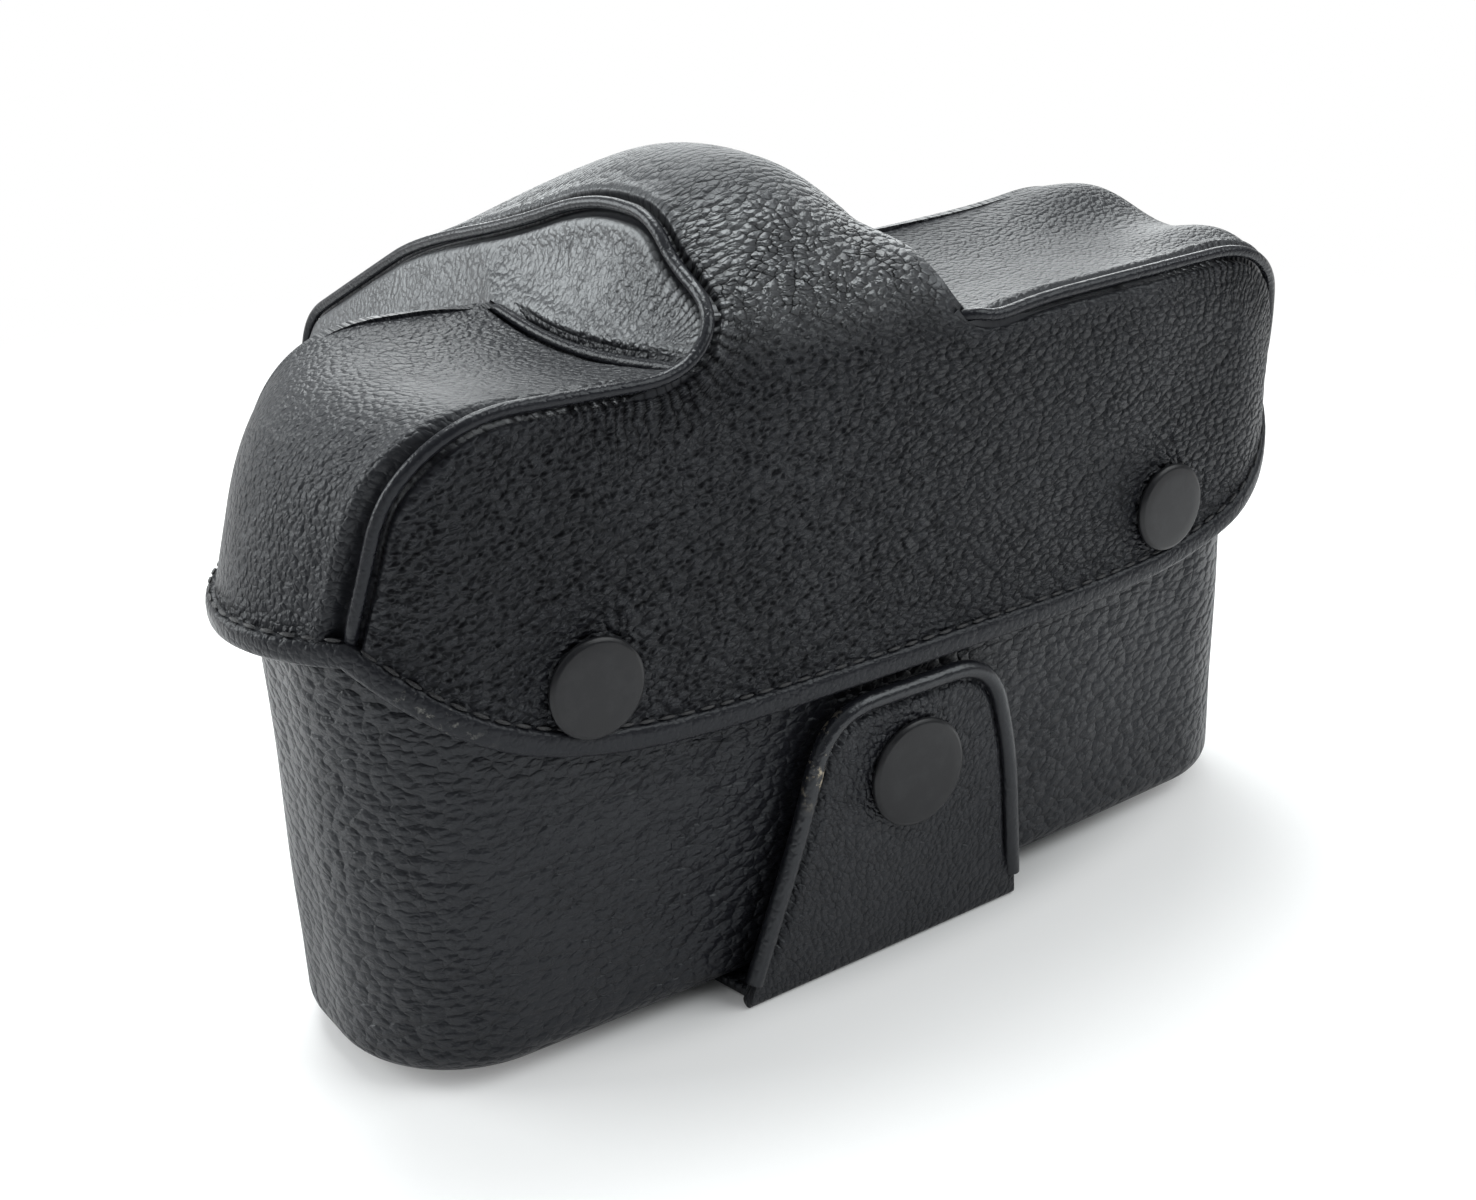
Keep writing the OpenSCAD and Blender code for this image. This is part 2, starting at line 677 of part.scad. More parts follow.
// Piped seams, lying on the panels' edges
function crown_line(side) = [for (q = side == LEFT ? seam_left : seam_right) skin(q.x, q.y)];
function shoulder_line(side) =
    concat(slice(flank_foot(side), 1, flank_rows[0]), tail(reversed(gusset_front(side))));
module crown_welt_left() { color(hide_black) cord(crown_line(LEFT), welt_d); }
module crown_welt_right() { color(hide_black) cord(crown_line(RIGHT), welt_d); }
module shoulder_welt_left() { color(hide_black) cord(shoulder_line(LEFT), welt_d); }
module shoulder_welt_right() { color(hide_black) cord(shoulder_line(RIGHT), welt_d); }

// Bound lower edge, from the right foot of the nose round the back to the left foot
function end_edge(side) = [
    for (k = [1 : 7])
        let (v = side * (k / 4 - 1),
             b = gusset_back(side)[0],
             m = gusset_middle(side)[0],
             f = gusset_front(side)[0])
        m + v * side * (f - b) / 2 + v * v * ((f + b) / 2 - m)
];
module hood_binding() {
    color(hide_black)
        cord([
            each reversed(front_edge(RIGHT)),
            each reversed(end_edge(RIGHT)),
            each reversed(back_grid[0]),
            each end_edge(LEFT),
            each front_edge(LEFT)
        ], binding_d);
}

// Linings of the hood, above the overlap with the lower half
module gusset_lining_left() { color(pile_black) lining(gusset_grid(LEFT, 0.8, 4)); }
module gusset_lining_right() { color(pile_black) lining(gusset_grid(RIGHT, 0.8, 4)); }
module lining(grid) {
    sheet(slice(grid, 6, len(grid) - 2), lining_t, leather + 2 * lay_gap);
}
module crown_lining() {
    rows = [crown_start + 1, crown_start + 14];
    color(pile_black)
        sheet([
            for (i = [rows[0] : rows[1]])
                [for (k = [3 : 2 : flap_columns - 3]) back_grid[i][k]]
        ], lining_t, leather + 2 * lay_gap);
}

module hood_cap_left() { color(cap_black) on_flap(-hood_snap_x, hood_snap_z) cap(hood_cap_d); }
module hood_cap_right() { color(cap_black) on_flap(hood_snap_x, hood_snap_z) cap(hood_cap_d); }
module hood_socket(side) {
    color(steel)
        on_flap(side * hood_snap_x, hood_snap_z)
            translate([0, 0, -leather - socket_t - lay_gap])
                socket();
}
module hood_socket_left() { hood_socket(LEFT); }
module hood_socket_right() { hood_socket(RIGHT); }

// Outline of the tongue as [x, z], from the fold on the left over the top to the fold on the right
tongue_waist_z = 0.62 * tongue_top_z;
tongue_outline = soft_path([
    [tongue_root_x - tongue_foot_hw, fold_z],
    [tongue_tip_x - tongue_tip_hw - 4.6, tongue_waist_z],
    [tongue_tip_x - tongue_tip_hw, tongue_top_z],
    [tongue_tip_x + tongue_tip_hw, tongue_top_z],
    [tongue_tip_x + tongue_tip_hw + 3.5, tongue_waist_z],
    [tongue_root_x + tongue_foot_hw, fold_z]
], [7, 7.5, 7, 7]);
module tongue_flap() {
    width = norm(last(tongue_outline) - tongue_outline[0]);
    color(hide_black)
        difference() {
            union() {
                translate([0, tongue_y + strap_t / 2, 0])
                    rotate([90, 0, 0])
                        linear_extrude(strap_t)
                            polygon(tongue_outline);
                translate([tongue_outline[0].x, tongue_y, fold_z])
                    rotate([0, 90, 0])
                        cylinder(h = width, r = strap_t / 2);
            }
            on_tongue() snap_hole();
        }
}
module tongue_binding() {
    color(hide_black)
        cord([
            for (p = slice(resample(tongue_outline, 30), 1, 29))
                [p.x, tongue_y - 0.2, p.y]
        ], binding_d);
}
module tongue_cap() { color(cap_black) on_tongue() cap(tongue_cap_d); }
module tongue_socket() {
    color(steel)
        on_tongue()
            translate([0, 0, -strap_t - socket_t - lay_gap])
                socket();
}

lower_shell();
lower_lining();
base_board();
strap();
hood_stud_left();
hood_stud_right();
tongue_stud();
hood_post_left();
hood_post_right();
tongue_post();
screw_bush();
back_panel();
gusset_left();
gusset_right();
nose_side_left();
nose_side_right();
front_panel_left();
front_panel_right();
nose_floor();
crown_welt_left();
crown_welt_right();
shoulder_welt_left();
shoulder_welt_right();
hood_binding();
gusset_lining_left();
gusset_lining_right();
crown_lining();
hood_cap_left();
hood_cap_right();
hood_socket_left();
hood_socket_right();
tongue_flap();
tongue_binding();
tongue_cap();
tongue_socket();
camera_screw();
screw_clip();
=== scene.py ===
"""A closed ever-ready camera case of black pebble-grained leather, standing on a pale floor.

Sizes are in millimetres until a mesh is made. The back flap faces -Y, the lens nose +Y, and z = 0 is the floor.
"""

import bmesh
import bpy
import numpy as np
from mathutils import Matrix


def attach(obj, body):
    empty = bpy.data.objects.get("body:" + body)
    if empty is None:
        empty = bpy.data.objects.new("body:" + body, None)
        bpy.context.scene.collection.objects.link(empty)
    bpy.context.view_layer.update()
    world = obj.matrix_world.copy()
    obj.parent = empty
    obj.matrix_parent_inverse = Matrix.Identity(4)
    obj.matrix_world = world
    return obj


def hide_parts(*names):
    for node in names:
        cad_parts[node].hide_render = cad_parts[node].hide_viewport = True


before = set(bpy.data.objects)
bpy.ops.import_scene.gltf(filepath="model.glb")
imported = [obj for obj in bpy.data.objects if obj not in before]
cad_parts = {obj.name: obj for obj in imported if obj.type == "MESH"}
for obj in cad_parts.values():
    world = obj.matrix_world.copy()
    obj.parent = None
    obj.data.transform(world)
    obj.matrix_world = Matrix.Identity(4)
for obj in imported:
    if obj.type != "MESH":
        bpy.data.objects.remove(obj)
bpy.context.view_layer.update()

MM = 0.001
LEFT, RIGHT = -1, 1
SIDES = {LEFT: "left", RIGHT: "right"}

# Lower half
CASE_HW, CASE_HD, CORNER_R, WALL_BOW, EDGE_R = 75.0, 20.5, 17.5, 1.7, 3.5
LEATHER, LINING_T, LINING_GAP = 1.5, 0.8, 0.2
FLOOR_Z, LINING_FLOOR_Z = 2.0, 5.4
RIM_Z, RIM_END_Z = 56.6, 65.0
NOTCH_Z, NOTCH_R = 49.0, 30.0

# Hood
HOOD_HW, HOOD_HD, HOOD_R = 80.0, 24.2, 21.2
BACK_Y = -HOOD_HD - WALL_BOW
HOOD_EDGE_Z, HOOD_END_Z, SHOULDER_Z, CREST_Z = 42.0, 60.0, 87.0, 107.0
HUMP_X, HUMP_HW, HUMP_LEAN, CROWN_DROP = -11.5, 14.0, 1.6, 6.3
NOSE_Y, NOSE_TOP_Z, NOSE_HW = 84.0, 78.5, 33.0
NOSE_FLOOR_Z, NOSE_TIP_Z, NOSE_FOOT_Y = 17.0, 22.0, HOOD_HD + 1.3
FOOT_HW = NOSE_HW - 10.5
END_SEAM_X, END_FLARE, HOOD_SHIFT = HOOD_HW - 5.5, 3.3, 2.6
FRONT_BOW = 3.2

# Snaps, strap and tongue
HOOD_SNAP, HOOD_CAP_R = (47.2, 52.0), 6.35
TONGUE_SNAP_Z, TONGUE_CAP_R = 26.0, 7.7
STRAP_T, FOLD_Z, TONGUE_Y, TONGUE_TOP_Z = 1.8, 0.9, -25.3, 38.0
TONGUE_ROOT_X, TONGUE_FOOT_HW, TONGUE_TIP_HW = -4.8, 23.2, 13.9
STRAP_END_Y, STRAP_SEAM_Z = 85.5, 30.0
STRAP_BACK_HW, STRAP_FRONT_HW, FOLD_GAP = 22.0, 19.0, 0.35

# Piping and stitches
WELT_R, SHOULDER_WELT_R, WELT_SINK, END_SINK = 0.8, 0.75, 0.15, 0.9
PIPING_R = 1.25
BINDING_HALF, BINDING_OFF = (1.25, 1.65), (-0.55, 0.55)
STITCH_PITCH, STITCH_LENGTH, STITCH_R, STITCH_SHIFT, STITCH_LIFT = 2.9, 2.1, 0.26, 2.45, 0.1


# ---- curves ----

def unit(v):
    """Vectors along the last axis, divided by their length."""
    return v / np.maximum(np.linalg.norm(v, axis=-1, keepdims=True), 1e-9)


def smooth(t):
    """Cubic step 3t^2 - 2t^3 between 0 and 1, flat outside."""
    u = np.clip(t, 0, 1)
    return u * u * (3 - 2 * u)


def mix(a, b, t):
    """Straight blend from a at t = 0 to b at t = 1."""
    return a * (1 - t) + b * t


CURVE_STEPS = 24


def soft_path(points, cuts, steps=CURVE_STEPS):
    """Straight runs between points; each inner corner becomes a quadratic curve starting and ending a cut away."""
    p = np.asarray(points, float)
    v = p[1:-1]
    c = np.asarray(cuts, float)[:, None]
    a = v + unit(p[:-2] - v) * c
    b = v + unit(p[2:] - v) * c
    k = np.linspace(0, 1, steps + 1)[None, :, None]
    bend = (1 - k) ** 2 * a[:, None] + 2 * k * (1 - k) * v[:, None] + k ** 2 * b[:, None]
    return np.vstack([p[:1], bend.reshape(-1, p.shape[1]), p[-1:]])


def run_of(path):
    """Length along a path at each of its points."""
    return np.concatenate([[0], np.cumsum(np.linalg.norm(np.diff(path, axis=0), axis=1))])


def at_run(path, run, s):
    """Points of a path at the lengths s."""
    return np.stack([np.interp(s, run, path[:, k]) for k in range(path.shape[1])], -1)


def resample(path, steps):
    """The same path with its points at equal lengths."""
    run = run_of(path)
    return at_run(path, run, np.linspace(0, run[-1], steps + 1))


def eased(path, half, steps=500):
    """The same path with its corners eased: each point becomes the mean of its neighbours, half a window each way."""
    even = resample(path, steps)
    step = np.arange(-half, half + 1)
    reach = np.minimum(np.minimum(np.arange(steps + 1), np.arange(steps + 1)[::-1]), half) / half
    at = np.arange(steps + 1)[:, None] + np.rint(step[None] * reach[:, None]).astype(int)
    return even[at].mean(1)


def by_share(path, share):
    """Points of a path at shares 0 to 1 of its length."""
    run = run_of(path)
    return at_run(path, run, np.asarray(share) * run[-1])


def plan_y(x, hw, hd, r):
    """Half depth of a plan outline at x: a straight side bowed by a parabola, with round ends of radius r."""
    round_end = np.sqrt(np.maximum(0, r * r - np.maximum(0, np.abs(x) - hw + r) ** 2))
    return hd - r + WALL_BOW * (1 - (x / hw) ** 2) + round_end


# ---- the hood's skin ----

spine = soft_path([
    (BACK_Y, HOOD_EDGE_Z), (BACK_Y, SHOULDER_Z + 1), (BACK_Y + 12.5, CREST_Z - 1.2), (6, CREST_Z + 0.4),
    (0.34 * NOSE_Y, CREST_Z - 6), (NOSE_Y - 2.5, NOSE_TOP_Z), (NOSE_Y, NOSE_TIP_Z)], [9, 8, 9, 12, 9])
spine_run = run_of(spine) + HOOD_EDGE_Z
SPINE_END = spine_run[-1]
rising = spine[:, 0] < 5
over_top = slice(CURVE_STEPS + 2, None)


def run_at_z(z):
    """Length along the profile at a height on its rising back."""
    return float(np.interp(z, spine[rising, 1], spine_run[rising]))


def run_at_y(y):
    """Length along the profile at a depth on its top."""
    return float(np.interp(y, spine[over_top, 0], spine_run[over_top]))


def skin(x, s):
    """The hood's outer skin at sideways place x and length s along its middle profile.

    The point lies on the profile, moved against the profile's normal by a drop: the round plan corners low down,
    and a parabola across the hump higher up, with a smooth step between the two."""
    x, s = np.broadcast_arrays(np.asarray(x, float), np.asarray(s, float))
    ahead = at_run(spine, spine_run, np.minimum(s + 1.5, SPINE_END))
    behind = at_run(spine, spine_run, np.maximum(s - 1.5, HOOD_EDGE_Z))
    d = unit(ahead - behind)
    over = smooth((s - SHOULDER_Z - 3) / 14)
    corner = plan_y(0, HOOD_HW, HOOD_HD, HOOD_R) - plan_y(x - HOOD_SHIFT / 2, HOOD_HW, HOOD_HD, HOOD_R)
    flat = smooth((s - 125) / 50)
    ridge_x = HUMP_X - HUMP_LEAN * (1 - flat)
    crown = CROWN_DROP * ((x - ridge_x) / HUMP_HW) ** 2 * (1 - 0.79 * flat)
    drop = corner * (1 - over) + crown * over
    p = at_run(spine, spine_run, s)
    return np.stack([x, p[..., 0] + d[..., 1] * drop, p[..., 1] - d[..., 0] * drop], -1)


ROWS = (7, 7, 19)
FINE = (4, 5, 5)
CROWN_START = ROWS[0] + ROWS[1]


def foot_x(side, hw):
    """Sideways place at the hump's foot: the right one lies further out, because the hump leans to the left."""
    return HUMP_X + side * hw + (2.4 * HUMP_LEAN if side == RIGHT else 0)


def crown_corners(side):
    """Corner points of the piped seam of the back panel, as (x, length along the profile)."""
    return [
        (HOOD_SHIFT + side * (END_SEAM_X + END_FLARE / 2), HOOD_END_Z),
        (HOOD_SHIFT + side * (END_SEAM_X - (5 if side == LEFT else 7.5)), run_at_z(SHOULDER_Z)),
        (foot_x(side, HUMP_HW + 1), run_at_z(SHOULDER_Z - 1.5)),
        (HUMP_X + side * HUMP_HW, run_at_y(0)),
        (HUMP_X + side * (HUMP_HW + 4), run_at_y(28)),
        (HUMP_X + side * (HUMP_HW + 9), run_at_y(0.8 * NOSE_Y)),
        (HUMP_X + side * (HUMP_HW + 12), SPINE_END - 40),
        (HUMP_X + side * (HUMP_HW + 11), SPINE_END)]


def crown_seam(side, fine=FINE):
    """The piped seam as a soft path in three stretches: up the end, along the shoulder's edge, and over the hump."""
    p = soft_path(crown_corners(side), [14, 12 if side == LEFT else 10, 12, 12, 8, 8])
    m1 = 1 + CURVE_STEPS // 2
    m2 = m1 + CURVE_STEPS + 1
    a, b, c = (resample(q, n * f) for q, n, f in zip((p[:m1 + 1], p[m1:m2 + 1], p[m2:]), ROWS, fine))
    return np.vstack([a, b[1:], c[1:]])


def seam_line(side):
    """The crown seam on the skin, with close points."""
    q = crown_seam(side, (14, 16, 14))
    return resample(skin(q[:, 0], q[:, 1]), 700)


def back_places(columns=240):
    """Sideways place and length along the profile over the back panel's grid: rows join the two seams, and each row
    leaves its straight middle by the fifth power of t."""
    a, b = crown_seam(LEFT), crown_seam(RIGHT)
    place = np.concatenate([np.linspace(0, ROWS[0], ROWS[0] * FINE[0] + 1),
                            np.linspace(ROWS[0], CROWN_START, ROWS[1] * FINE[1] + 1)[1:]])
    at_seam = a[len(place) - 1, 1]
    middle = np.interp(place, [0, ROWS[0], CROWN_START], [HOOD_EDGE_Z, SHOULDER_Z - 24, at_seam])
    middle = np.concatenate([middle, a[len(place):, 1]])[:, None]
    t = np.sin(np.pi * (np.linspace(0, 1, columns + 1) - 0.5))[None]
    edge = np.where(t < 0, a[:, 1:], b[:, 1:])
    return mix(a[:, :1], b[:, :1], (1 + t) / 2), middle + (edge - middle) * np.abs(t) ** 5


def back_sheet():
    """The back panel on the hood's skin."""
    return skin(*back_places())


def back_lengths():
    """Lengths over the back panel for its grain: along each row from its middle, and along the profile."""
    x, s = back_places()
    return spread(back_sheet())[0] + x[:, [x.shape[1] // 2]], s


def gusset_back(side, n):
    """Guide along the back edge of a gusset, on the skin."""
    c = crown_corners(side)
    q = resample(soft_path([c[0], c[1], (foot_x(side, FOOT_HW + 1), run_at_z(SHOULDER_Z - 1))], [14]), n)
    return skin(q[:, 0], q[:, 1])


def gusset_middle(side, n):
    """Guide over the middle of a gusset: up the end, over the shoulder and to the foot of the hump."""
    return resample(soft_path([
        (HOOD_SHIFT + side * (HOOD_HW + END_FLARE), 0, HOOD_END_Z),
        (HOOD_SHIFT + side * (HOOD_HW - 5.5), 0, SHOULDER_Z + 0.5),
        (foot_x(side, FOOT_HW), -2, SHOULDER_Z - 2.5)], [16]), n)


def gusset_front(side, n):
    """Guide along the front edge of a gusset."""
    return resample(soft_path([
        (HOOD_SHIFT + side * (END_SEAM_X + END_FLARE / 2), plan_y(END_SEAM_X, HOOD_HW, HOOD_HD, HOOD_R), HOOD_END_Z),
        (HOOD_SHIFT + side * (END_SEAM_X - 6), HOOD_HD - 7.5, SHOULDER_Z + 2.5),
        (foot_x(side, FOOT_HW), HOOD_HD - 6, SHOULDER_Z + 0.5)], [16]), n)


def gusset_sheet(side, reach=0.992, rows=110, columns=72, span=(0, 1)):
    """A gusset: across each row a parabola through the back, middle and front guides."""
    b, m, f = (g(side, 280) for g in (gusset_back, gusset_middle, gusset_front))
    share = np.linspace(*span, rows + 1)
    b, m, f = (by_share(g, share)[:, None] for g in (b, m, f))
    v = (side * reach * np.sin(np.linspace(-np.pi / 2, np.pi / 2, columns + 1)))[None, :, None]
    return m + v * (f - b) / 2 + v * v * ((f + b) / 2 - m)


def nose_corner(side):
    """Lower end of the seam between the nose and the front wall."""
    return np.array([HUMP_X + side * NOSE_HW, NOSE_FOOT_Y, NOSE_FLOOR_Z])


def nose_tip(side):
    """Front end of the nose's lower seam."""
    return np.array([HUMP_X + side * (HUMP_HW + 12), NOSE_Y - 4, NOSE_TIP_Z - 1])


def corner_line(side, v):
    """Seam between nose and front wall: a straight run bowed forward by a parabola."""
    v = np.asarray(v, float)[:, None]
    top = gusset_front(side, 14)[-1]
    return mix(nose_corner(side), top, v) + np.array([0, FRONT_BOW, 0]) * 4 * v * (1 - v)


FLANK_FINE = 6


def flank_foot(side):
    """Lower seam of the hump's and nose's flank: along the hump's foot, down the corner, and along the nose's foot."""
    top = gusset_front(side, 14)[-1]
    start = skin(foot_x(side, HUMP_HW + 4.5), run_at_z(SHOULDER_Z - 1))
    foot = resample(soft_path([start, gusset_middle(side, 14)[-1], top], [12]), 7 * FLANK_FINE)
    corner = corner_line(side, np.linspace(1, 0, 5 * FLANK_FINE + 1)[1:])
    lower = resample(np.array([nose_corner(side), nose_tip(side)]), 7 * FLANK_FINE)[1:]
    return np.vstack([foot, corner, lower])


def flank_sheet(side, columns=56):
    """The flank of the hump and the nose: straight rulings from the crown seam to the foot, bulged by a parabola."""
    q = crown_seam(side, (4, 5, FLANK_FINE))[7 * 4 + 7 * 5:]
    top = skin(q[:, 0], q[:, 1])[:, None]
    foot = flank_foot(side)[:, None]
    share = np.linspace(0, 1, len(top))[:, None, None]
    wide = np.linalg.norm(foot - top, axis=-1, keepdims=True)
    across = 0.5 - 0.5 * np.cos(np.linspace(0, np.pi, columns + 1))[None, :, None]
    v = mix(0.45 / wide, 1 - 0.45 / wide, across if side == RIGHT else 1 - across)
    bulge = 6 * smooth((share - 0.3) / 0.35) * smooth((1.02 - share) / 0.25) - 1
    return (mix(top, foot, v) + np.array([side, 0, 0]) * bulge * 4 * v * (1 - v))[3:]


TIP_STEPS, TIP_PAST = 8, 0.6
TUCK_IN, TUCK_ON, TUCK_STEPS = 2.2, 1.6, 4


def more_rows(start, end, steps):
    """Rows that go on from a grid's last row to another row: straight blends of the two, without the first."""
    return mix(start[None], end[None], np.linspace(0, 1, steps + 1)[1:, None, None])


def gusset_leather(side):
    """A gusset with its tip: rows added sideways from its last row to the foot of the hump's flank, then tucked in
    and up behind that as a seam allowance."""
    grid = gusset_sheet(side)
    last, foot = grid[-1], flank_foot(side)[:7 * FLANK_FINE + 1]
    foot = foot[np.argsort(foot[:, 1])]
    x, z = (np.interp(last[:, 1], foot[:, 1], foot[:, k]) for k in (0, 2))
    end = np.stack([x - side * TIP_PAST, last[:, 1], z], -1)
    tuck = end + np.array([-side * (TUCK_IN - TIP_PAST), 0, TUCK_ON])
    return np.vstack([grid, more_rows(last, end, TIP_STEPS), more_rows(end, tuck, TUCK_STEPS)])


def front_edge(side, n):
    """Lower edge of the front wall, from the hood's end down to the foot of the nose."""
    corner_x = HOOD_SHIFT + side * (END_SEAM_X - 11)
    drop = lambda share: mix(HOOD_END_Z, NOSE_FLOOR_Z, share)
    return resample(soft_path([
        gusset_front(side, 14)[0], (corner_x, HOOD_HD + 0.5, drop(0.08)),
        (mix(corner_x, nose_corner(side)[0], 0.55), NOSE_FOOT_Y, drop(0.45)), nose_corner(side)], [7, 9]), n)


def front_sheet(side, rows=40, columns=84):
    """The front wall beside the nose: rulings from its lower edge to the shoulder seam, bowed forward by a parabola,
    and tucked in and forward behind the nose's flank as a seam allowance."""
    along = np.linspace(0.01, 1, columns + 1)
    along = along if side == RIGHT else along[::-1]
    edge, top = (by_share(g(side, 140), along)[None] for g in (front_edge, gusset_front))
    v = np.linspace(0, 1, rows + 1)[:, None, None]
    bow = FRONT_BOW * smooth(along * 14 / 5)[None, :, None]
    wall = mix(edge, top, v) + np.array([0, 1, 0]) * bow * 4 * v * (1 - v)
    corner = wall[:, -1:] if side == RIGHT else wall[:, :1]
    share = np.linspace(0, 1, TUCK_STEPS + 1)[None, 1:, None]
    tuck = corner + np.array([-side * TUCK_IN, TUCK_ON, 0]) * share
    return np.hstack([wall, tuck] if side == RIGHT else [tuck[:, ::-1], wall])


NOSE_FLOOR_TRIM, NOSE_LIP_IN, NOSE_LIP_UP, NOSE_LIP_STEPS = 0.6, 0.8, 0.3, 5


def nose_floor_sheet(n=36):
    """Underside of the nose: a plain ruled surface between the two lower seams, drawn on to the nose's bowed front."""
    v = np.linspace(0.01, 1.0, n + 1)[:, None, None]
    a, b = (mix(nose_corner(s), nose_tip(s), v) for s in (RIGHT, LEFT))
    trim = NOSE_FLOOR_TRIM / np.linalg.norm(b - a, axis=-1, keepdims=True)
    floor = mix(a, b, mix(trim, 1 - trim, np.linspace(0, 1, n + 1)[None, :, None]))
    front, last = back_sheet()[-1], floor[-1]
    y = np.maximum(np.interp(last[:, 0], front[:, 0], front[:, 1]) - NOSE_LIP_IN, last[:, 1] + 0.2)
    end = np.stack([last[:, 0], y, np.full_like(y, NOSE_TIP_Z + NOSE_LIP_UP)], -1)
    return np.vstack([floor, more_rows(last, end, NOSE_LIP_STEPS)])


# ---- relief: turned edges, pleats and small waves ----

def normals(grid):
    """Outward unit normals of a grid whose columns run to the right and rows go up."""
    return unit(np.cross(np.gradient(grid, axis=1), np.gradient(grid, axis=0)))


def nearest(grid, path):
    """Distance from each grid point to a path, and the length along the path of the nearest point."""
    flat = grid.reshape(-1, 3)
    run = run_of(path)
    best, place = np.full(len(flat), np.inf), np.zeros(len(flat))
    for part in np.array_split(np.arange(len(path)), max(1, len(path) // 120)):
        d = np.linalg.norm(flat[:, None] - path[part][None], axis=2)
        k = d.argmin(1)
        near = d[np.arange(len(flat)), k]
        closer = near < best
        best = np.where(closer, near, best)
        place = np.where(closer, run[part][k], place)
    return best.reshape(grid.shape[:2]), place.reshape(grid.shape[:2])


def spread(grid):
    """Lengths over a grid for its grain: along each row from its middle, and along each column from its first point."""
    up, across = (np.cumsum(np.linalg.norm(np.diff(grid, axis=k, prepend=np.take(grid, [0], k)), axis=-1), k)
                  for k in (0, 1))
    return across - across[:, [grid.shape[1] // 2]], up


def turned_edge(d, depth, floor, width, puff):
    """Relief of a panel's edge turned in at a piped seam: a sunk floor, a steep rise, and a low round swelling."""
    return puff * np.exp(-((d - width - 0.7) / 1.1) ** 2) - depth * (1 - smooth((d - floor) / (width - floor)))


PLEAT_SPAN, PLEAT_PITCH, PLEAT_REACH = 13.0, 2.6, 7.0


def pleats(d, place, depth):
    """Wrinkles that fan out from a bend in a seam: a wave along it that fades away from the bend and from the seam."""
    phase = 2 * np.pi * place / PLEAT_PITCH + 1.1 * np.sin(place * 1.7) + 0.35 * d
    fade = np.exp(-(place / PLEAT_SPAN) ** 2) * np.exp(-d / PLEAT_REACH) * smooth((d - 0.6) / 1.6)
    return depth * fade * (0.6 * np.sin(phase) + 0.4 * np.sin(1.83 * phase + 0.7))


def waves(grid, depth, length):
    """Slow uneven relief of a moulded panel: a product and a sum of sines of the place, a length apart."""
    x, y, z = (grid[..., k] / length for k in range(3))
    return depth * (np.sin(2.1 * x + 1.3 * z + 0.4) * np.cos(1.7 * z - 0.8 * y) + 0.5 * np.sin(3.7 * x - 2.9 * z + y))


# ---- meshes ----

def grid_faces(rows, columns, wrap=False):
    """Quads of a grid of points, counted row by row; wrap joins the last column to the first."""
    i = np.arange(rows - 1)[:, None] * columns
    k = np.arange(columns if wrap else columns - 1)[None]
    n = (k + 1) % columns
    return np.stack(np.broadcast_arrays(i + k, i + n, i + columns + n, i + columns + k), -1).reshape(-1, 4)


def shell(grid, thickness, depth=0.0):
    """Closed sheet of leather: the grid as its outer face, the grid moved inward as its inner face, and four edges."""
    n = normals(grid)
    rows, columns = grid.shape[:2]
    points = np.concatenate([(grid - n * depth).reshape(-1, 3), (grid - n * (depth + thickness)).reshape(-1, 3)])
    count = rows * columns
    index = np.arange(count).reshape(rows, columns)
    rim = np.concatenate([index[0], index[1:, -1], index[-1, -2::-1], index[-2:0:-1, 0]])
    after = np.roll(rim, -1)
    edge = np.stack([rim, rim + count, after + count, after], -1)
    outer = grid_faces(rows, columns)
    return points, np.concatenate([outer, outer[:, ::-1] + count, edge])


def tube_faces(rows, n):
    """Quads of a closed tube of rings of n points: its wall, and at both ends strips across the ring."""
    k = np.arange(n // 2 - 1)
    cap = np.stack([k, k + 1, n - 2 - k, n - 1 - k], -1)
    return np.concatenate([grid_faces(rows, n, True), cap, cap[:, ::-1] + (rows - 1) * n])


def tube(path, outward, profile):
    """A closed profile carried along a path: its first axis points outward from the surface, its second across it."""
    ahead = unit(np.gradient(path, axis=0))
    out = unit(outward - ahead * (outward * ahead).sum(-1, keepdims=True))
    points = path[:, None] + out[:, None] * profile[:, :1] + np.cross(ahead, out)[:, None] * profile[:, 1:]
    return points.reshape(-1, 3), tube_faces(len(path), len(profile))


def oval(a, b, power=2.0, n=16, centre=(0, 0)):
    """Superellipse |x/a|^p + |y/b|^p = 1 as a closed profile of n points."""
    t = np.linspace(0, 2 * np.pi, n, endpoint=False) + np.pi / n
    c, s = np.cos(t), np.sin(t)
    bent = lambda v: np.sign(v) * np.abs(v) ** (2 / power)
    return np.stack([a * bent(c) + centre[0], b * bent(s) + centre[1]], -1)


def lathe(profile, place, turn, n=96):
    """A profile of (radius, height) turned about an axis that points out of the back wall at a place."""
    angle = np.linspace(0, 2 * np.pi, n, endpoint=False)[None]
    r, h = profile[:, :1], np.repeat(profile[:, 1:], n, 1)
    local = np.stack([r * np.cos(angle), r * np.sin(angle), h], -1).reshape(-1, 3)
    right = np.array([np.cos(turn), np.sin(turn), 0])
    out = np.array([np.sin(turn), -np.cos(turn), 0])
    points = place + local[:, :1] * right + local[:, 1:2] * np.array([0, 0, 1]) + local[:, 2:] * out
    return points, grid_faces(len(profile), n, True)


def put_in_scene(name, data):
    """A new object of the scene that holds a mesh, lamp or camera."""
    made = bpy.data.objects.new(name, data)
    bpy.context.scene.collection.objects.link(made)
    return made


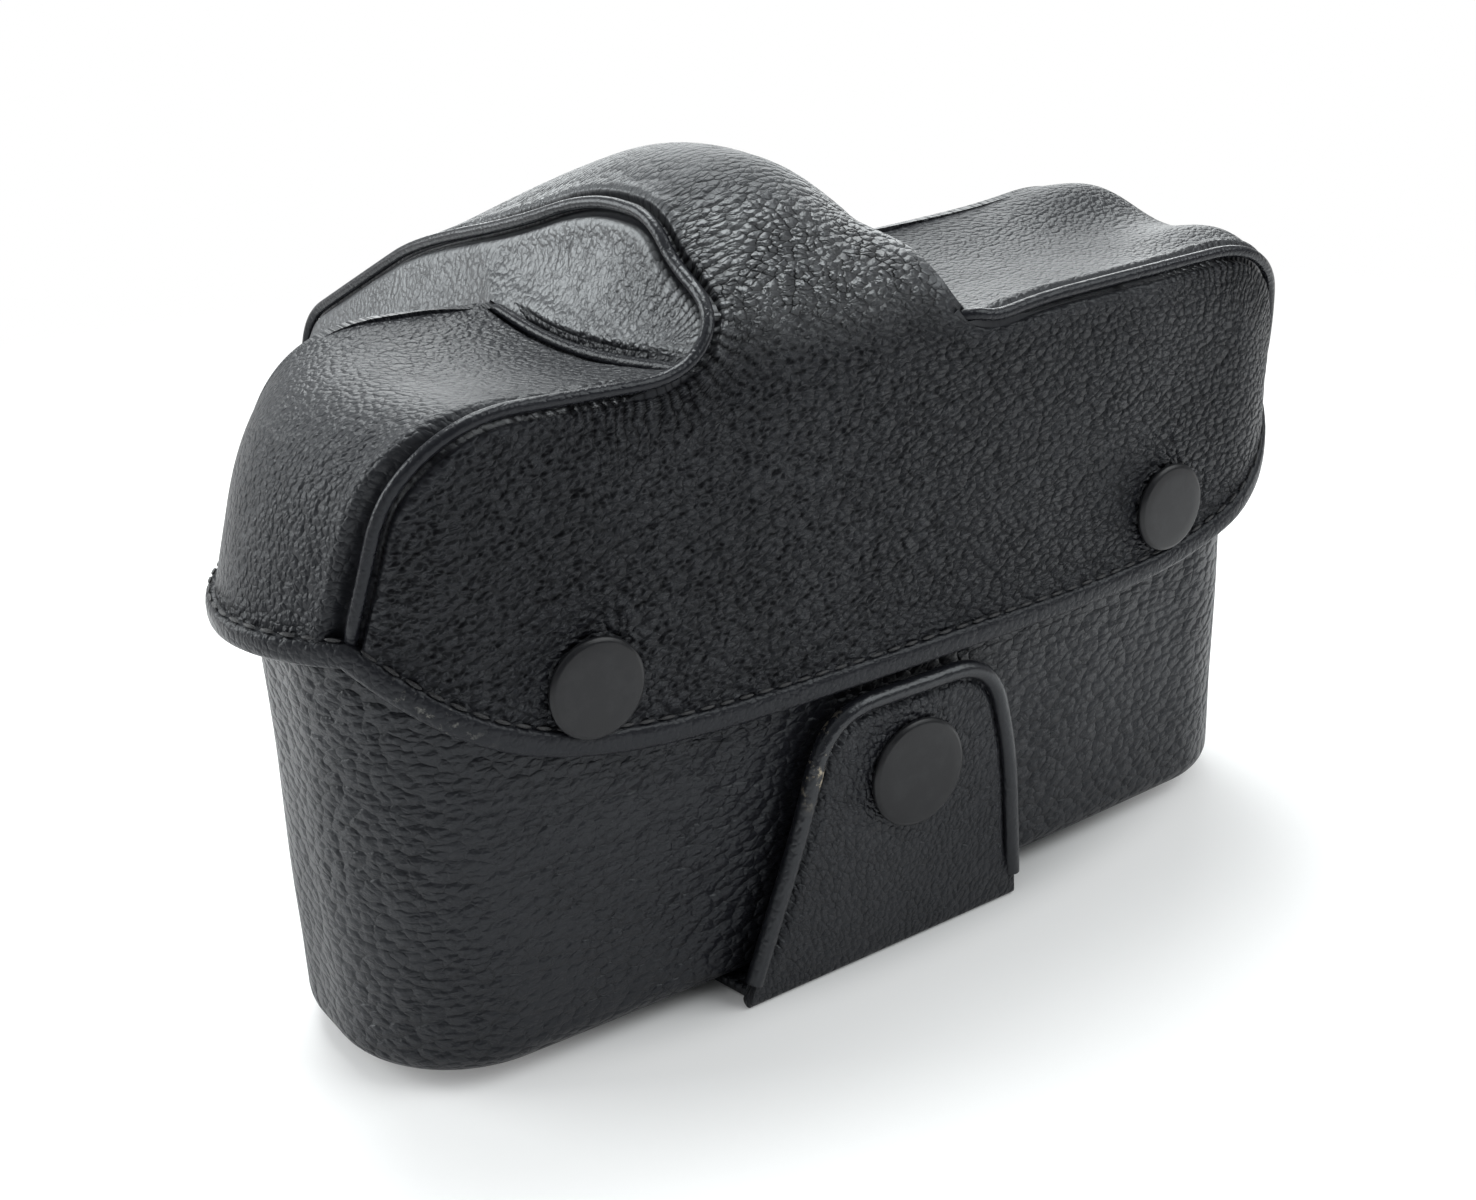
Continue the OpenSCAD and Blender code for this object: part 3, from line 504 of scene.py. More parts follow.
def piece(name, shape, body, material, nodes=(), sharp=40, marks=None):
    """Puts points and quads into a mesh object that rides on a body and stands for CAD nodes."""
    points, faces = shape
    mesh = bpy.data.meshes.new(name)
    mesh.from_pydata((points * MM).tolist(), [], faces.tolist())
    for key, values in (marks or {}).items():
        layer = mesh.attributes.new(key, "FLOAT", "POINT")
        layer.data.foreach_set("value", np.ascontiguousarray(values, np.float32))
    work = bmesh.new()
    work.from_mesh(mesh)
    bmesh.ops.remove_doubles(work, verts=work.verts, dist=1e-7)
    bmesh.ops.recalc_face_normals(work, faces=work.faces)
    work.to_mesh(mesh)
    work.free()
    mesh.shade_smooth()
    mesh.set_sharp_from_angle(angle=np.radians(sharp))
    mesh.materials.append(material)
    made = put_in_scene(name, mesh)
    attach(made, body)
    if nodes:
        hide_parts(*nodes)


# ---- materials ----

class Nodes:
    """Short calls for building a node tree."""

    def __init__(self, tree):
        self.tree = tree
        self.where = self.add("ShaderNodeTexCoord").outputs
        self.place = self.where["Object"]

    def put(self, socket, value):
        """Links a socket to another one or sets its value; a colour of three numbers is made opaque."""
        if isinstance(value, bpy.types.NodeSocket):
            self.tree.links.new(value, socket)
        else:
            socket.default_value = (*value, 1.0) if socket.type == "RGBA" and len(value) == 3 else value

    def add(self, kind, inputs=None, **settings):
        """A new node with its settings, and its inputs set or linked."""
        node = self.tree.nodes.new(kind)
        for key, value in settings.items():
            setattr(node, key, value)
        for key, value in (inputs or {}).items():
            self.put(node.inputs[key], value)
        return node

    def mark(self, key):
        """A value that each point of the mesh carries."""
        return self.add("ShaderNodeAttribute", attribute_name=key).outputs["Fac"]

    def math(self, operation, a, b=0.0, c=0.0, clamp=False):
        """One step of arithmetic."""
        return self.add("ShaderNodeMath", {0: a, 1: b, 2: c}, operation=operation, use_clamp=clamp).outputs[0]

    def times(self, a, b):
        """a * b."""
        return self.math("MULTIPLY", a, b)

    def scaled(self, value, by, plus):
        """value * by + plus."""
        return self.math("MULTIPLY_ADD", value, by, plus)

    def vector(self, operation, a, b=(0, 0, 0), scale=1.0):
        """One step of arithmetic on places."""
        node = self.add("ShaderNodeVectorMath", {0: a, 1: b, 3: scale}, operation=operation)
        return node.outputs["Value" if operation in ("DISTANCE", "LENGTH", "DOT_PRODUCT") else "Vector"]

    def ramp(self, value, low, high, to_low=0.0, to_high=1.0):
        """Smooth step of a value between two limits."""
        return self.add("ShaderNodeMapRange", {"Value": value, "From Min": low, "From Max": high, "To Min": to_low,
                                               "To Max": to_high}, interpolation_type="SMOOTHSTEP").outputs["Result"]

    def noise(self, scale, detail=3.0, roughness=0.55):
        """Cloudy noise in space, from about 0 to 1."""
        return self.add("ShaderNodeTexNoise", {"Vector": self.place, "Scale": scale, "Detail": detail,
                                               "Roughness": roughness}).outputs["Fac"]

    def cells(self, scale, place=None, flat=False, feature="F1", randomness=1.0, out="Distance"):
        """Distance from the nearest of scattered points or from the edges of their cells, in the plane or in space."""
        inputs = {"Vector": place or self.place, "Scale": scale, "Randomness": randomness}
        if feature == "SMOOTH_F1":
            inputs["Smoothness"] = 0.3
        return self.add("ShaderNodeTexVoronoi", inputs, voronoi_dimensions="2D" if flat else "3D",
                        feature=feature).outputs[out]

    def blend(self, share, low, high):
        """Colour mix; low and high are colours or sockets."""
        return self.add("ShaderNodeMix", {0: share, 6: low, 7: high}, data_type="RGBA").outputs[2]

    def bump(self, height, distance):
        """Normals tilted by a height that counts in the distance."""
        return self.add("ShaderNodeBump", {"Height": height, "Distance": distance}).outputs["Normal"]


class Finish(Nodes):
    """A new material and the calls for building it."""

    def __init__(self, name):
        self.material = bpy.data.materials.new(name)
        self.material.use_nodes = True
        super().__init__(self.material.node_tree)
        self.shader = self.tree.nodes["Principled BSDF"]

    def set(self, **values):
        """Sets or links the shader's own sockets."""
        for key, value in values.items():
            self.put(self.shader.inputs[key.replace("_", " ")], value)
        return self.material


# The first colour is painted shade, given to the pits, creases and wrinkle troughs; the second is the leather's own
# tone.
LEATHER_PAINTED_SHADE, LEATHER_PALE = (0.005, 0.005, 0.006), (0.0108, 0.0112, 0.0145)
SPECK_COLOUR = (0.5, 0.5, 0.5)
WORN_Z, RIDGE_Z = (0.096, 0.105), (0.1, 0.1062)


def leather(name, cell, depth, shine, creases, gloss=0.4, pits=0.0, pits_fade=None, smooth_top=(0.084, 0.094),
            stretch=(1.0, 1.0), tilt=0.0, lean=0.0, wrinkles=0.0, flat=True, scuff_at=None, scuff_size=9.0,
            scuff_colour=(0.42, 0.36, 0.27)):
    """Black grained leather: soft pebbles with fine creases between them, scattered round pits, slow changes of sheen.
    The pits, the creases and the wrinkles' troughs are coloured darker as painted shade.

    The grain is laid out in millimetres over the panel's own lengths if flat, or else in space. Pits lie below
    smooth_top, and fade sideways where pits_fade gives two places; shine and creases are given below and above it.
    Lean tilts each pebble like a scale. Wrinkles are creases across the nearest crown seam, longer at its bend, read
    from the panel's own marks. The hump's top is worn smooth and dull."""
    n = Finish(name)
    if flat:
        base = n.add("ShaderNodeCombineXYZ", {0: n.mark("grain_across"), 1: n.mark("grain_up")}).outputs[0]
    else:
        base = n.vector("SCALE", n.place, scale=1 / MM)
    bent = n.add("ShaderNodeMapping", {"Vector": base, "Rotation": (0, 0, tilt), "Scale": (*stretch, 1.0)}).outputs[0]
    grain = bent
    for pitch, reach in ((0.33, 1.2), (1.1, 0.9)):
        warp = n.add("ShaderNodeTexNoise", {"Vector": bent, "Scale": pitch, "Detail": 2.0}).outputs["Color"]
        warp = n.vector("SCALE", n.vector("SUBTRACT", warp, (0.5, 0.5, 0.5)), scale=reach)
        grain = n.vector("ADD", grain, warp)
    where = n.add("ShaderNodeSeparateXYZ", {0: n.place}).outputs
    top = n.ramp(where["Z"], *smooth_top)
    worn_top = n.ramp(where["Z"], *WORN_Z, 1.0, 0.25)
    ridge = n.ramp(where["Z"], *RIDGE_Z)
    uneven = n.times(n.ramp(n.noise(60.0, 2.0), 0.3, 0.7, 0.55, 1.0), worn_top)

    middle = n.cells(1 / cell, grain, flat, "SMOOTH_F1")
    pebble = n.scaled(n.math("POWER", n.math("MAXIMUM", middle, 0.0), 1.6), -2.6, 1.0)
    if lean:
        inside = n.vector("SUBTRACT", grain, n.cells(1 / cell, grain, True, out="Position"))
        pebble = n.math("ADD", pebble, n.vector("DOT_PRODUCT", inside, (lean / cell, 0.3 * lean / cell, 0)))
    share = n.scaled(top, -pits, pits)
    if pits_fade:
        share = n.times(share, n.ramp(where["X"], *pits_fade, 1.0, 0.2))
    pit = n.times(share, n.ramp(n.cells(0.8, grain, flat, randomness=0.9), 0.05, 0.5, 1.0, 0.0))
    pit = n.times(pit, n.ramp(n.noise(420.0, 2.0), 0.36, 0.6, 0.3, 1.0))
    line = n.ramp(n.cells(1 / cell, grain, flat, "DISTANCE_TO_EDGE"), 0.0, 0.13, 1.0, 0.0)
    line = n.times(line, n.scaled(top, creases[1] - creases[0], creases[0]))
    line = n.times(n.times(line, worn_top), n.ramp(n.noise(260.0, 3.0), 0.38, 0.62, 0.1, 1.0))
    # sunk marks the pits and creases: it deepens the bump there and, through crest, paints shade into the colour.
    sunk = n.math("MAXIMUM", pit, line)
    crest = n.math("SUBTRACT", 1.0, sunk, clamp=True)

    fine = n.math("POWER", n.cells(1 / (cell * 0.55), grain, flat), 2.0)
    height = n.times(n.scaled(fine, -0.35, pebble), uneven)
    height = n.scaled(n.noise(1500.0, 4.0, 0.6), 0.3, height)
    height = n.scaled(sunk, -0.55, height)
    if wrinkles:
        gap, run = n.mark("seam_gap"), n.mark("seam_place")
        height = n.times(height, n.ramp(gap, 1.2, 4.5, 0.08, 1.0))
        phase = n.scaled(n.noise(240.0, 2.0), 6.0, n.times(run, 2.4))
        wave = n.math("POWER", n.math("ABSOLUTE", n.math("SINE", phase)), 0.5)
        bend = n.ramp(n.math("ABSOLUTE", run), 8.0, 26.0, 1.0, 0.0)
        bend = n.times(bend, n.ramp(gap, 1.5, 12.0, 1.0, 0.0))
        near = n.math("ADD", bend, n.ramp(gap, 1.5, 4.0, 0.05, 0.0), clamp=True)
        height = n.scaled(n.times(wave, near), wrinkles, height)
        # Painted shade in the wrinkles' troughs: crest falls there, and the colour darkens with it.
        crest = n.times(crest, n.scaled(n.times(n.math("SUBTRACT", wave, 1.0), near), 0.85, 1.0))

    # Painted shade: where crest is low, in pits, creases and wrinkle troughs, the colour goes dark.
    tone = n.blend(crest, LEATHER_PAINTED_SHADE, LEATHER_PALE)
    slow = n.ramp(n.noise(28.0, 2.0), 0.3, 0.7, -0.04, 0.06)
    rough = n.math("ADD", n.ramp(crest, 0.0, 1.0, gloss + 0.2, gloss), slow)
    rough = n.scaled(ridge, 0.1, rough)
    speck = n.times(n.ramp(n.cells(75.0), 0.006, 0.012, 1.0, 0.0), n.ramp(n.noise(40.0, 1.0), 0.52, 0.6))
    tone = n.blend(n.times(speck, 0.55), tone, SPECK_COLOUR)
    if scuff_at:
        away = n.vector("DISTANCE", n.place, tuple(np.array(scuff_at) * MM))
        near = n.ramp(away, scuff_size * MM * 0.15, scuff_size * MM, 1.0, 0.0)
        worn = n.math("MULTIPLY", near, n.ramp(n.noise(620.0, 4.0, 0.65), 0.55, 0.66), clamp=True)
        tone = n.blend(worn, tone, scuff_colour)
        rough = n.scaled(worn, 0.3, rough)
    full = n.times(n.scaled(top, shine[1] - shine[0], shine[0]), n.scaled(ridge, -0.5, 1.0))
    return n.set(Base_Color=tone, Roughness=rough, Normal=n.bump(height, depth * MM),
                 Specular_IOR_Level=n.times(full, n.ramp(crest, 0.0, 1.0, 0.1, 1.1)), Specular_Tint=(0.94, 0.975, 1.0))


def pile(name):
    """Short black pile of the linings: fine uneven nap with a soft sheen."""
    n = Finish(name)
    nap = n.noise(2600.0, 4.0, 0.7)
    tone = n.blend(n.ramp(n.noise(160.0, 3.0), 0.3, 0.7), (0.012, 0.0115, 0.011), (0.032, 0.03, 0.028))
    return n.set(Base_Color=tone, Roughness=n.ramp(nap, 0.3, 0.7, 0.8, 0.95), Normal=n.bump(nap, 0.25 * MM),
                 Sheen_Weight=0.35, Sheen_Roughness=0.5, Specular_IOR_Level=0.2)


def enamel(name):
    """Satin black enamel of the snap caps, with faint rubbed marks."""
    n = Finish(name)
    rub = n.ramp(n.noise(300.0, 5.0, 0.65), 0.45, 0.7)
    tone = n.blend(rub, (0.012, 0.0122, 0.014), (0.02, 0.0204, 0.0225))
    return n.set(Base_Color=tone, Roughness=n.ramp(rub, 0.0, 1.0, 0.3, 0.4),
                 Normal=n.bump(n.noise(5200.0, 2.0), 0.012 * MM), Specular_IOR_Level=0.28)


def metal(name, dark, pale, gloss):
    """Plated or turned metal: fine rings of polish and dull spots."""
    n = Finish(name)
    rings = n.add("ShaderNodeMapping", {"Vector": n.place, "Scale": (120.0, 120.0, 4200.0)}).outputs[0]
    turned = n.add("ShaderNodeTexNoise", {"Vector": rings, "Scale": 1.0, "Detail": 2.0}).outputs["Fac"]
    dull = n.ramp(n.noise(420.0, 4.0), 0.4, 0.65)
    return n.set(Base_Color=n.blend(dull, pale, dark), Metallic=1.0, Normal=n.bump(turned, 0.01 * MM),
                 Roughness=n.ramp(dull, 0.0, 1.0, gloss, gloss + 0.2))


def board(name):
    """Grey-brown fibre board with pressed flecks."""
    n = Finish(name)
    fleck = n.noise(900.0, 5.0, 0.7)
    tone = n.blend(n.ramp(fleck, 0.35, 0.65), (0.2, 0.165, 0.12), (0.36, 0.31, 0.24))
    return n.set(Base_Color=tone, Roughness=n.ramp(fleck, 0.3, 0.7, 0.75, 0.9), Normal=n.bump(fleck, 0.06 * MM))


def thread(name):
    """Waxed black sewing thread, twisted."""
    n = Finish(name)
    twist = n.noise(3800.0, 2.0)
    tone = n.blend(n.ramp(twist, 0.35, 0.65), (0.008, 0.008, 0.009), (0.03, 0.03, 0.032))
    return n.set(Base_Color=tone, Roughness=n.ramp(twist, 0.3, 0.7, 0.45, 0.65), Normal=n.bump(twist, 0.05 * MM))


hide = leather("grain_leather", 1.15, 0.65, shine=(0.29, 1.0), creases=(0.3, 1.0), pits=0.85, pits_fade=(-0.015, 0.035),
               stretch=(0.75, 1.3), tilt=0.9, lean=0.55, wrinkles=1.3)
end_hide = leather("end_leather", 0.85, 0.17, shine=(0.26, 0.37), creases=(0.4, 0.2), pits=0.35,
                   smooth_top=(0.066, 0.084), wrinkles=0.3)
nose_hide = leather("nose_leather", 0.85, 0.1, shine=(1.0, 1.0), creases=(0.2, 0.2), wrinkles=1.0, flat=False)
tray_hide = leather("lower_leather", 1.3, 0.28, shine=(0.31, 0.31), creases=(0.28, 0.28), stretch=(0.65, 1.0))
welt_hide = leather("welt_leather", 0.6, 0.03, shine=(0.22, 0.36), creases=(0.0, 0.0), gloss=0.25, flat=False)
bind_hide = leather("binding_leather", 0.8, 0.06, shine=(0.22, 0.22), creases=(0.2, 0.2), gloss=0.36, flat=False,
                    scuff_at=(-69, -21, 50), scuff_size=11, scuff_colour=(0.22, 0.215, 0.2))
tongue_hide = leather("tongue_leather", 0.95, 0.22, shine=(0.32, 0.32), creases=(0.35, 0.35))
piping_hide = leather("piping_leather", 0.8, 0.03, shine=(0.42, 0.42), creases=(0.0, 0.0), gloss=0.3, flat=False,
                      scuff_at=(-14.5, -26.3, 32), scuff_size=8)
lining_pile = pile("pile")
cap_enamel = enamel("satin_enamel")
plated = metal("nickel_plate", (0.34, 0.33, 0.31), (0.62, 0.62, 0.6), 0.24)
turned_brass = metal("turned_brass", (0.33, 0.22, 0.08), (0.62, 0.46, 0.2), 0.28)
fibre_board = board("fibre_board")
black_thread = thread("black_thread")


# ---- hood panels ----

# Centre, size and push of each swelling: the right shoulder's far corner, the hump's right slope, the dip below it
SWELLS = np.array([
    [(66, 11.5, 87), (14, 7.5, 14), (1.2, 0, 3.3)],
    [(5, -14.5, 93.5), (7, 6.5, 6.5), (1.2, -0.5, 1.8)],
    [(12, -24, 87), (8, 7, 6), (0, 0, -1.0)]])


def bell(points, at, size):
    """Bell curve exp(-d^2) about a centre, where d is counted in sizes along each axis."""
    return np.exp(-(((points - np.array(at)) / np.array(size)) ** 2).sum(-1))


def swell(points):
    """Points of the hood pushed by three bell curves. Panels and seams all pass through it, so they stay together."""
    return points + sum(bell(points, at, size)[..., None] * push for at, size, push in SWELLS)


seams = {side: swell(seam_line(side)) for side in SIDES}
FAR_SHIFT, HIDDEN_DEPTH, HIDDEN_FROM, HIDDEN_TO = 2.4, 2.8, -4, 42
NO_PLEATS = 60
HOOD_WAVES, TRAY_WAVES = (0.12, 17.0), (0.16, 19.0)


def far_edge(side):
    """Seam along the top of the front wall, moved down the wall from its edge."""
    share = np.linspace(1, 0, 200)
    edge, top = (by_share(g(side, 140), share) for g in (front_edge, gusset_front))
    return swell(top + unit(edge - top) * FAR_SHIFT)


near_seams = {side: swell(flank_foot(side)[3:7 * FLANK_FINE + 1]) for side in SIDES}
far_seams = {side: far_edge(side) for side in SIDES}
corner_seams = {side: corner_line(side, np.linspace(1, 0, 120)) for side in SIDES}


def bend_of(side):
    """Length along the crown seam at which it turns up from the shoulder onto the hump."""
    line = seams[side]
    target = skin(foot_x(side, HUMP_HW + 3.5), run_at_z(SHOULDER_Z + 1))
    return run_of(line)[np.linalg.norm(line - target, axis=1).argmin()]


def hidden_part(line):
    """Share 0 to 1 of hiding along a seam: on the hump's right slope the crown piping sinks out of sight."""
    run = run_of(line)
    if line is not seams[RIGHT]:
        return 0 * run
    past = run - bend_of(RIGHT)
    return smooth((past - HIDDEN_FROM) / 5) * smooth((HIDDEN_TO - past) / 10)


def relieve(grid, edges, folds, puffs, places):
    """Moves a panel along its normals: turned edges at its seams, pleats at the crown seams' bends, waves and puffs.

    A turned edge is shallower where the panel is narrow. Also returns, for the fine wrinkles, each point's distance
    from the nearest crown seam and its place along that, and the lengths that the grain is laid out on."""
    lift = waves(grid, *HOOD_WAVES)
    found = [nearest(grid, line) for line, _ in edges]
    width = sum(np.sort([d for d, _ in found], axis=0)[:2])
    for (line, edge), (d, place) in zip(edges, found):
        shown = (1 - np.interp(place, run_of(line), hidden_part(line))) * smooth((width - 2) / 10)
        lift = lift + turned_edge(d, *edge) * shown
    for at, size, rise in puffs:
        lift = lift + rise * bell(grid, at, size)
    reach, along = np.full(grid.shape[:2], np.inf), np.zeros(grid.shape[:2])
    for side in SIDES:
        d, place = nearest(grid, seams[side])
        place = place - bend_of(side) + (NO_PLEATS if side == RIGHT else 0)
        lift = lift + pleats(d, place, folds)
        along = np.where(d < reach, place, along)
        reach = np.minimum(d, reach)
    across, up = places or spread(grid)
    marks = {"seam_gap": np.minimum(reach, 60), "seam_place": along, "grain_across": across, "grain_up": up}
    return grid + normals(grid) * lift[..., None], {key: np.tile(v.ravel(), 2) for key, v in marks.items()}


def panel(name, node, grid, material, edges, folds=0.0, puffs=(), places=None):
    """One moulded panel of the hood."""
    moved, marks = relieve(swell(grid), edges, folds, puffs, places)
    piece(name, shell(moved, LEATHER), "hood", material, [node], marks=marks)


# Depth, floor, width and puff of the turned edges
FLAP_EDGE, END_EDGE = (1.3, 1.0, 1.9, 0.25), (1.7, 1.5, 3.2, 0.5)
NOSE_EDGE, FOOT_EDGE, TONGUE_EDGE = (1.2, 0.9, 2.1, 0.2), (0.8, 0.6, 1.5, 0.2), (0.7, 1.4, 2.4, 0.12)
END_PUFFS = {LEFT: (), RIGHT: (((68, -14, 84.5), (12, 6.5, 12), 2.0),)}
panel("back_leather", "back_panel", back_sheet(), hide, [(line, FLAP_EDGE) for line in seams.values()], folds=0.3,
      places=back_lengths())
for side, word in SIDES.items():
    crown, near, far, corner = (lines[side] for lines in (seams, near_seams, far_seams, corner_seams))
    panel(f"end_leather_{word}", f"gusset_{word}", gusset_leather(side), end_hide,
          [(crown, END_EDGE), (near, FOOT_EDGE)], puffs=END_PUFFS[side])
    panel(f"nose_leather_{word}", f"nose_side_{word}", flank_sheet(side), nose_hide,
          [(line, NOSE_EDGE) for line in (crown, near, corner)], folds=0.16)
    panel(f"front_leather_{word}", f"front_panel_{word}", front_sheet(side), end_hide,
          [(far, FOOT_EDGE), (corner, NOSE_EDGE)])
panel("nose_floor_leather", "nose_floor", nose_floor_sheet(), nose_hide,
      [(line, NOSE_EDGE) for line in corner_seams.values()])


# ---- piped seams, bound edge and stitches ----

HOOD_HEART = np.array([HUMP_X, 0.0, 55.0])


def seam_out(side):
    """Outward direction along the crown seam: the normal of the hood's skin there."""
    x, s = crown_seam(side, (14, 16, 14)).T
    base = skin(x, s)
    out = unit(np.cross(skin(x + 0.5, s) - skin(x - 0.5, s), skin(x, s + 0.5) - skin(x, s - 0.5)))
    out = out * np.sign((out * (base - HOOD_HEART)).sum(-1, keepdims=True))
    run = run_of(base)
    return unit(at_run(out, run, np.linspace(0, run[-1], len(seams[side]))))


for side, word in SIDES.items():
    line = seams[side]
    over = seam_out(side)
    tuck = WELT_SINK + END_SINK * smooth((5 - run_of(line)) / 4)[:, None]
    path = line - over * tuck + unit(HOOD_HEART - line) * HIDDEN_DEPTH * hidden_part(line)[:, None]
    piece(f"crown_piping_{word}", tube(path, over, oval(WELT_R, WELT_R)), "hood", welt_hide, [f"crown_welt_{word}"])
    line = eased(np.vstack([near_seams[side], far_seams[side]]), 16)
    over = unit(line - np.array([HUMP_X + side * 50, 0.0, 60.0]))
    over = unit(over + np.array([side * 0.6, 0, 0.9]))
    path = line - over * WELT_SINK
    piece(f"shoulder_piping_{word}", tube(path, over, oval(SHOULDER_WELT_R, SHOULDER_WELT_R)), "hood", welt_hide,
          [f"shoulder_welt_{word}"])


def end_edge(side, n=60):
    """Lower edge of a hood end: the lowest row of its gusset, from back to front."""
    row = gusset_sheet(side, 1.0, 2, n)[0]
    return row if side == RIGHT else row[::-1]


back_row = back_sheet()[0]
hood_edge = resample(np.vstack([
    front_edge(RIGHT, 100)[::-1], end_edge(RIGHT)[::-1][1:-1], back_row[::-1], end_edge(LEFT)[1:-1],
    front_edge(LEFT, 100)]), 900)
edge_ahead = unit(np.gradient(hood_edge, axis=0))
edge_out = unit(np.cross(np.array([0, 0, 1.0]), edge_ahead))
binding = tube(hood_edge, edge_out, oval(*BINDING_HALF, 3.0, 20, BINDING_OFF))
piece("hood_edge_binding", binding, "hood", bind_hide, ["hood_binding"])


def stitches(line, out):
    """A row of short stitches: an oval bead at each pitch along a line, moved sideways and outward from it."""
    run = run_of(line)
    at = np.arange(STITCH_PITCH, run[-1] - STITCH_PITCH, STITCH_PITCH)
    middle, along = at_run(line, run, at), unit(at_run(np.gradient(line, axis=0), run, at))
    face = unit(at_run(out, run, at))
    face = unit(face - along * (face * along).sum(-1, keepdims=True))
    across = np.cross(along, face)
    u = np.linspace(0, np.pi, 6)
    v = np.linspace(0, 2 * np.pi, 6, endpoint=False)
    a = -np.cos(u)[:, None] * np.ones_like(v) * STITCH_LENGTH / 2
    b = np.maximum(np.sin(u), 0.05)[:, None] * np.cos(v) * STITCH_R
    c = np.maximum(np.sin(u), 0.05)[:, None] * np.sin(v) * STITCH_R
    bead = np.stack([a, b, c], -1).reshape(-1, 3)
    middle = middle + across * STITCH_SHIFT + face * STITCH_LIFT
    axes = np.stack([along, face, across], 1)
    points = middle[:, None] + bead @ axes
    one = grid_faces(6, 6, True)
    caps = np.array([[0, 1, 2, 3], [0, 3, 4, 5]])
    one = np.concatenate([one, caps, caps[:, ::-1] + 30])
    faces = one[None] + (np.arange(len(at)) * 36)[:, None, None]
    return points.reshape(-1, 3), faces.reshape(-1, 4)


piece("hood_edge_stitches", stitches(hood_edge, edge_out), "hood", black_thread)


# ---- linings ----

for side, word in SIDES.items():
    grid = gusset_sheet(side, 0.8, 40, 30, (6 / 14, 13 / 14))
    piece(f"end_pile_{word}", shell(grid, LINING_T, LEATHER + LINING_GAP), "hood", lining_pile,
          [f"gusset_lining_{word}"])
rows = slice(ROWS[0] * FINE[0] + (ROWS[1] + 1) * FINE[1], ROWS[0] * FINE[0] + (ROWS[1] + 14) * FINE[1])
piece("crown_pile", shell(back_sheet()[rows, 36:205:4], LINING_T, LEATHER + LINING_GAP), "hood", lining_pile,
      ["crown_lining"])


# ---- lower half ----

def plan_ring(inset):
    """Outline of the lower half seen from above, inset by a margin, counter-clockwise from the right end."""
    arc = np.linspace(0, np.pi / 2, 37)
    run = np.linspace(-1, 1, 110)[1:-1]
    r, straight = CORNER_R - inset, CASE_HW - CORNER_R
    parts = []
    for quarter, (sx, sy) in enumerate([(1, 1), (-1, 1), (-1, -1), (1, -1)]):
        a = arc + quarter * np.pi / 2
        parts.append(np.stack([sx * straight + r * np.cos(a), sy * (CASE_HD - CORNER_R) + r * np.sin(a)], -1))
        if quarter in (0, 2):
            x = -sx * run * straight
            parts.append(np.stack([x, np.full_like(x, sy * (CASE_HD - inset))], -1))
    ring = np.vstack(parts)
    ring[:, 1] += np.sign(ring[:, 1]) * WALL_BOW * (1 - (ring[:, 0] / CASE_HW) ** 2)
    return ring


def rim_height(ring, drop, notch_r):
    """Height of the rim at each point of the outline: level sides, raised ends, and a round notch for the lens."""
    x, y = ring.T
    up = smooth((np.abs(x) - (CASE_HW - CORNER_R - 2)) / (CORNER_R - 1))
    rim = mix(RIM_Z, RIM_END_Z, up) - drop
    off = np.abs(x - HUMP_X)
    notch = NOTCH_Z - np.sqrt(np.maximum(0, notch_r ** 2 - off ** 2))
    return np.where((y > 0) & (off < notch_r), np.minimum(rim, notch), rim)


def tray(inset, wall, floor_z, edge_r, drop, notch_r):
    """A tray with a round lower edge: outline rings going out and up outside, over the rim, and down inside.

    The two floors are strips of quads between each point of a ring and its mirror image across the long axis."""
    rim = rim_height(plan_ring(inset), drop, notch_r)
    low, half, inner_r = floor_z + edge_r, wall / 2, max(0.3, edge_r - wall)

    def bend(start, base, r, angles):
        """Rings round the lower edge: a quarter circle of radius r in inset and height."""
        return [(start + r * (1 - np.sin(a)), base + r * (1 - np.cos(a)) + 0 * rim) for a in angles]

    rings = bend(inset, floor_z, edge_r, np.linspace(0, np.pi / 2, 9))
    rings += [(inset, mix(low, rim - half, share)) for share in np.linspace(0, 1, 40)[1:]]
    rings += [(inset + half * (1 - np.cos(a)), rim - half * (1 - np.sin(a))) for a in np.linspace(0, np.pi, 9)[1:-1]]
    rings += [(inset + wall, mix(low, rim - half, share)) for share in np.linspace(1, 0, 24)]
    rings += bend(inset + wall, floor_z + wall, inner_r, np.linspace(np.pi / 2, 0, 6)[1:])
    points = np.stack([np.column_stack([plan_ring(i), z]) for i, z in rings])
    n = points.shape[1]
    upper, lower = np.arange(n // 2), n - 1 - np.arange(n // 2)
    strip = np.stack([upper[:-1], upper[1:], lower[1:], lower[:-1]], -1)
    faces = np.concatenate([grid_faces(len(points), n, True), strip[:, ::-1], strip + (len(points) - 1) * n])
    return points, faces


def relieved_tray():
    """The leather tray with slow waves on its walls, and the lengths round and up it that its grain is laid out on.

    The lengths round it join at the front, under the nose."""
    points, faces = tray(0.0, LEATHER, FLOOR_Z, EDGE_R, 0.0, NOTCH_R)
    out = unit(points * np.array([1.0, 1.0, 0.0]) + 1e-6)
    height = smooth((points[..., 2] - 8) / 12)[..., None]
    points = points + out * waves(points, *TRAY_WAVES)[..., None] * height
    up = spread(points)[1]
    ring = plan_ring(0)
    run = run_of(ring)
    join = np.argmin(np.abs(ring[:, 0] - HUMP_X) + 1000 * (ring[:, 1] < 0))
    across = np.broadcast_to((run - run[join]) % (run[-1] + np.linalg.norm(ring[0] - ring[-1])), up.shape)
    return (points.reshape(-1, 3), faces), {"grain_across": across.ravel(), "grain_up": up.ravel()}


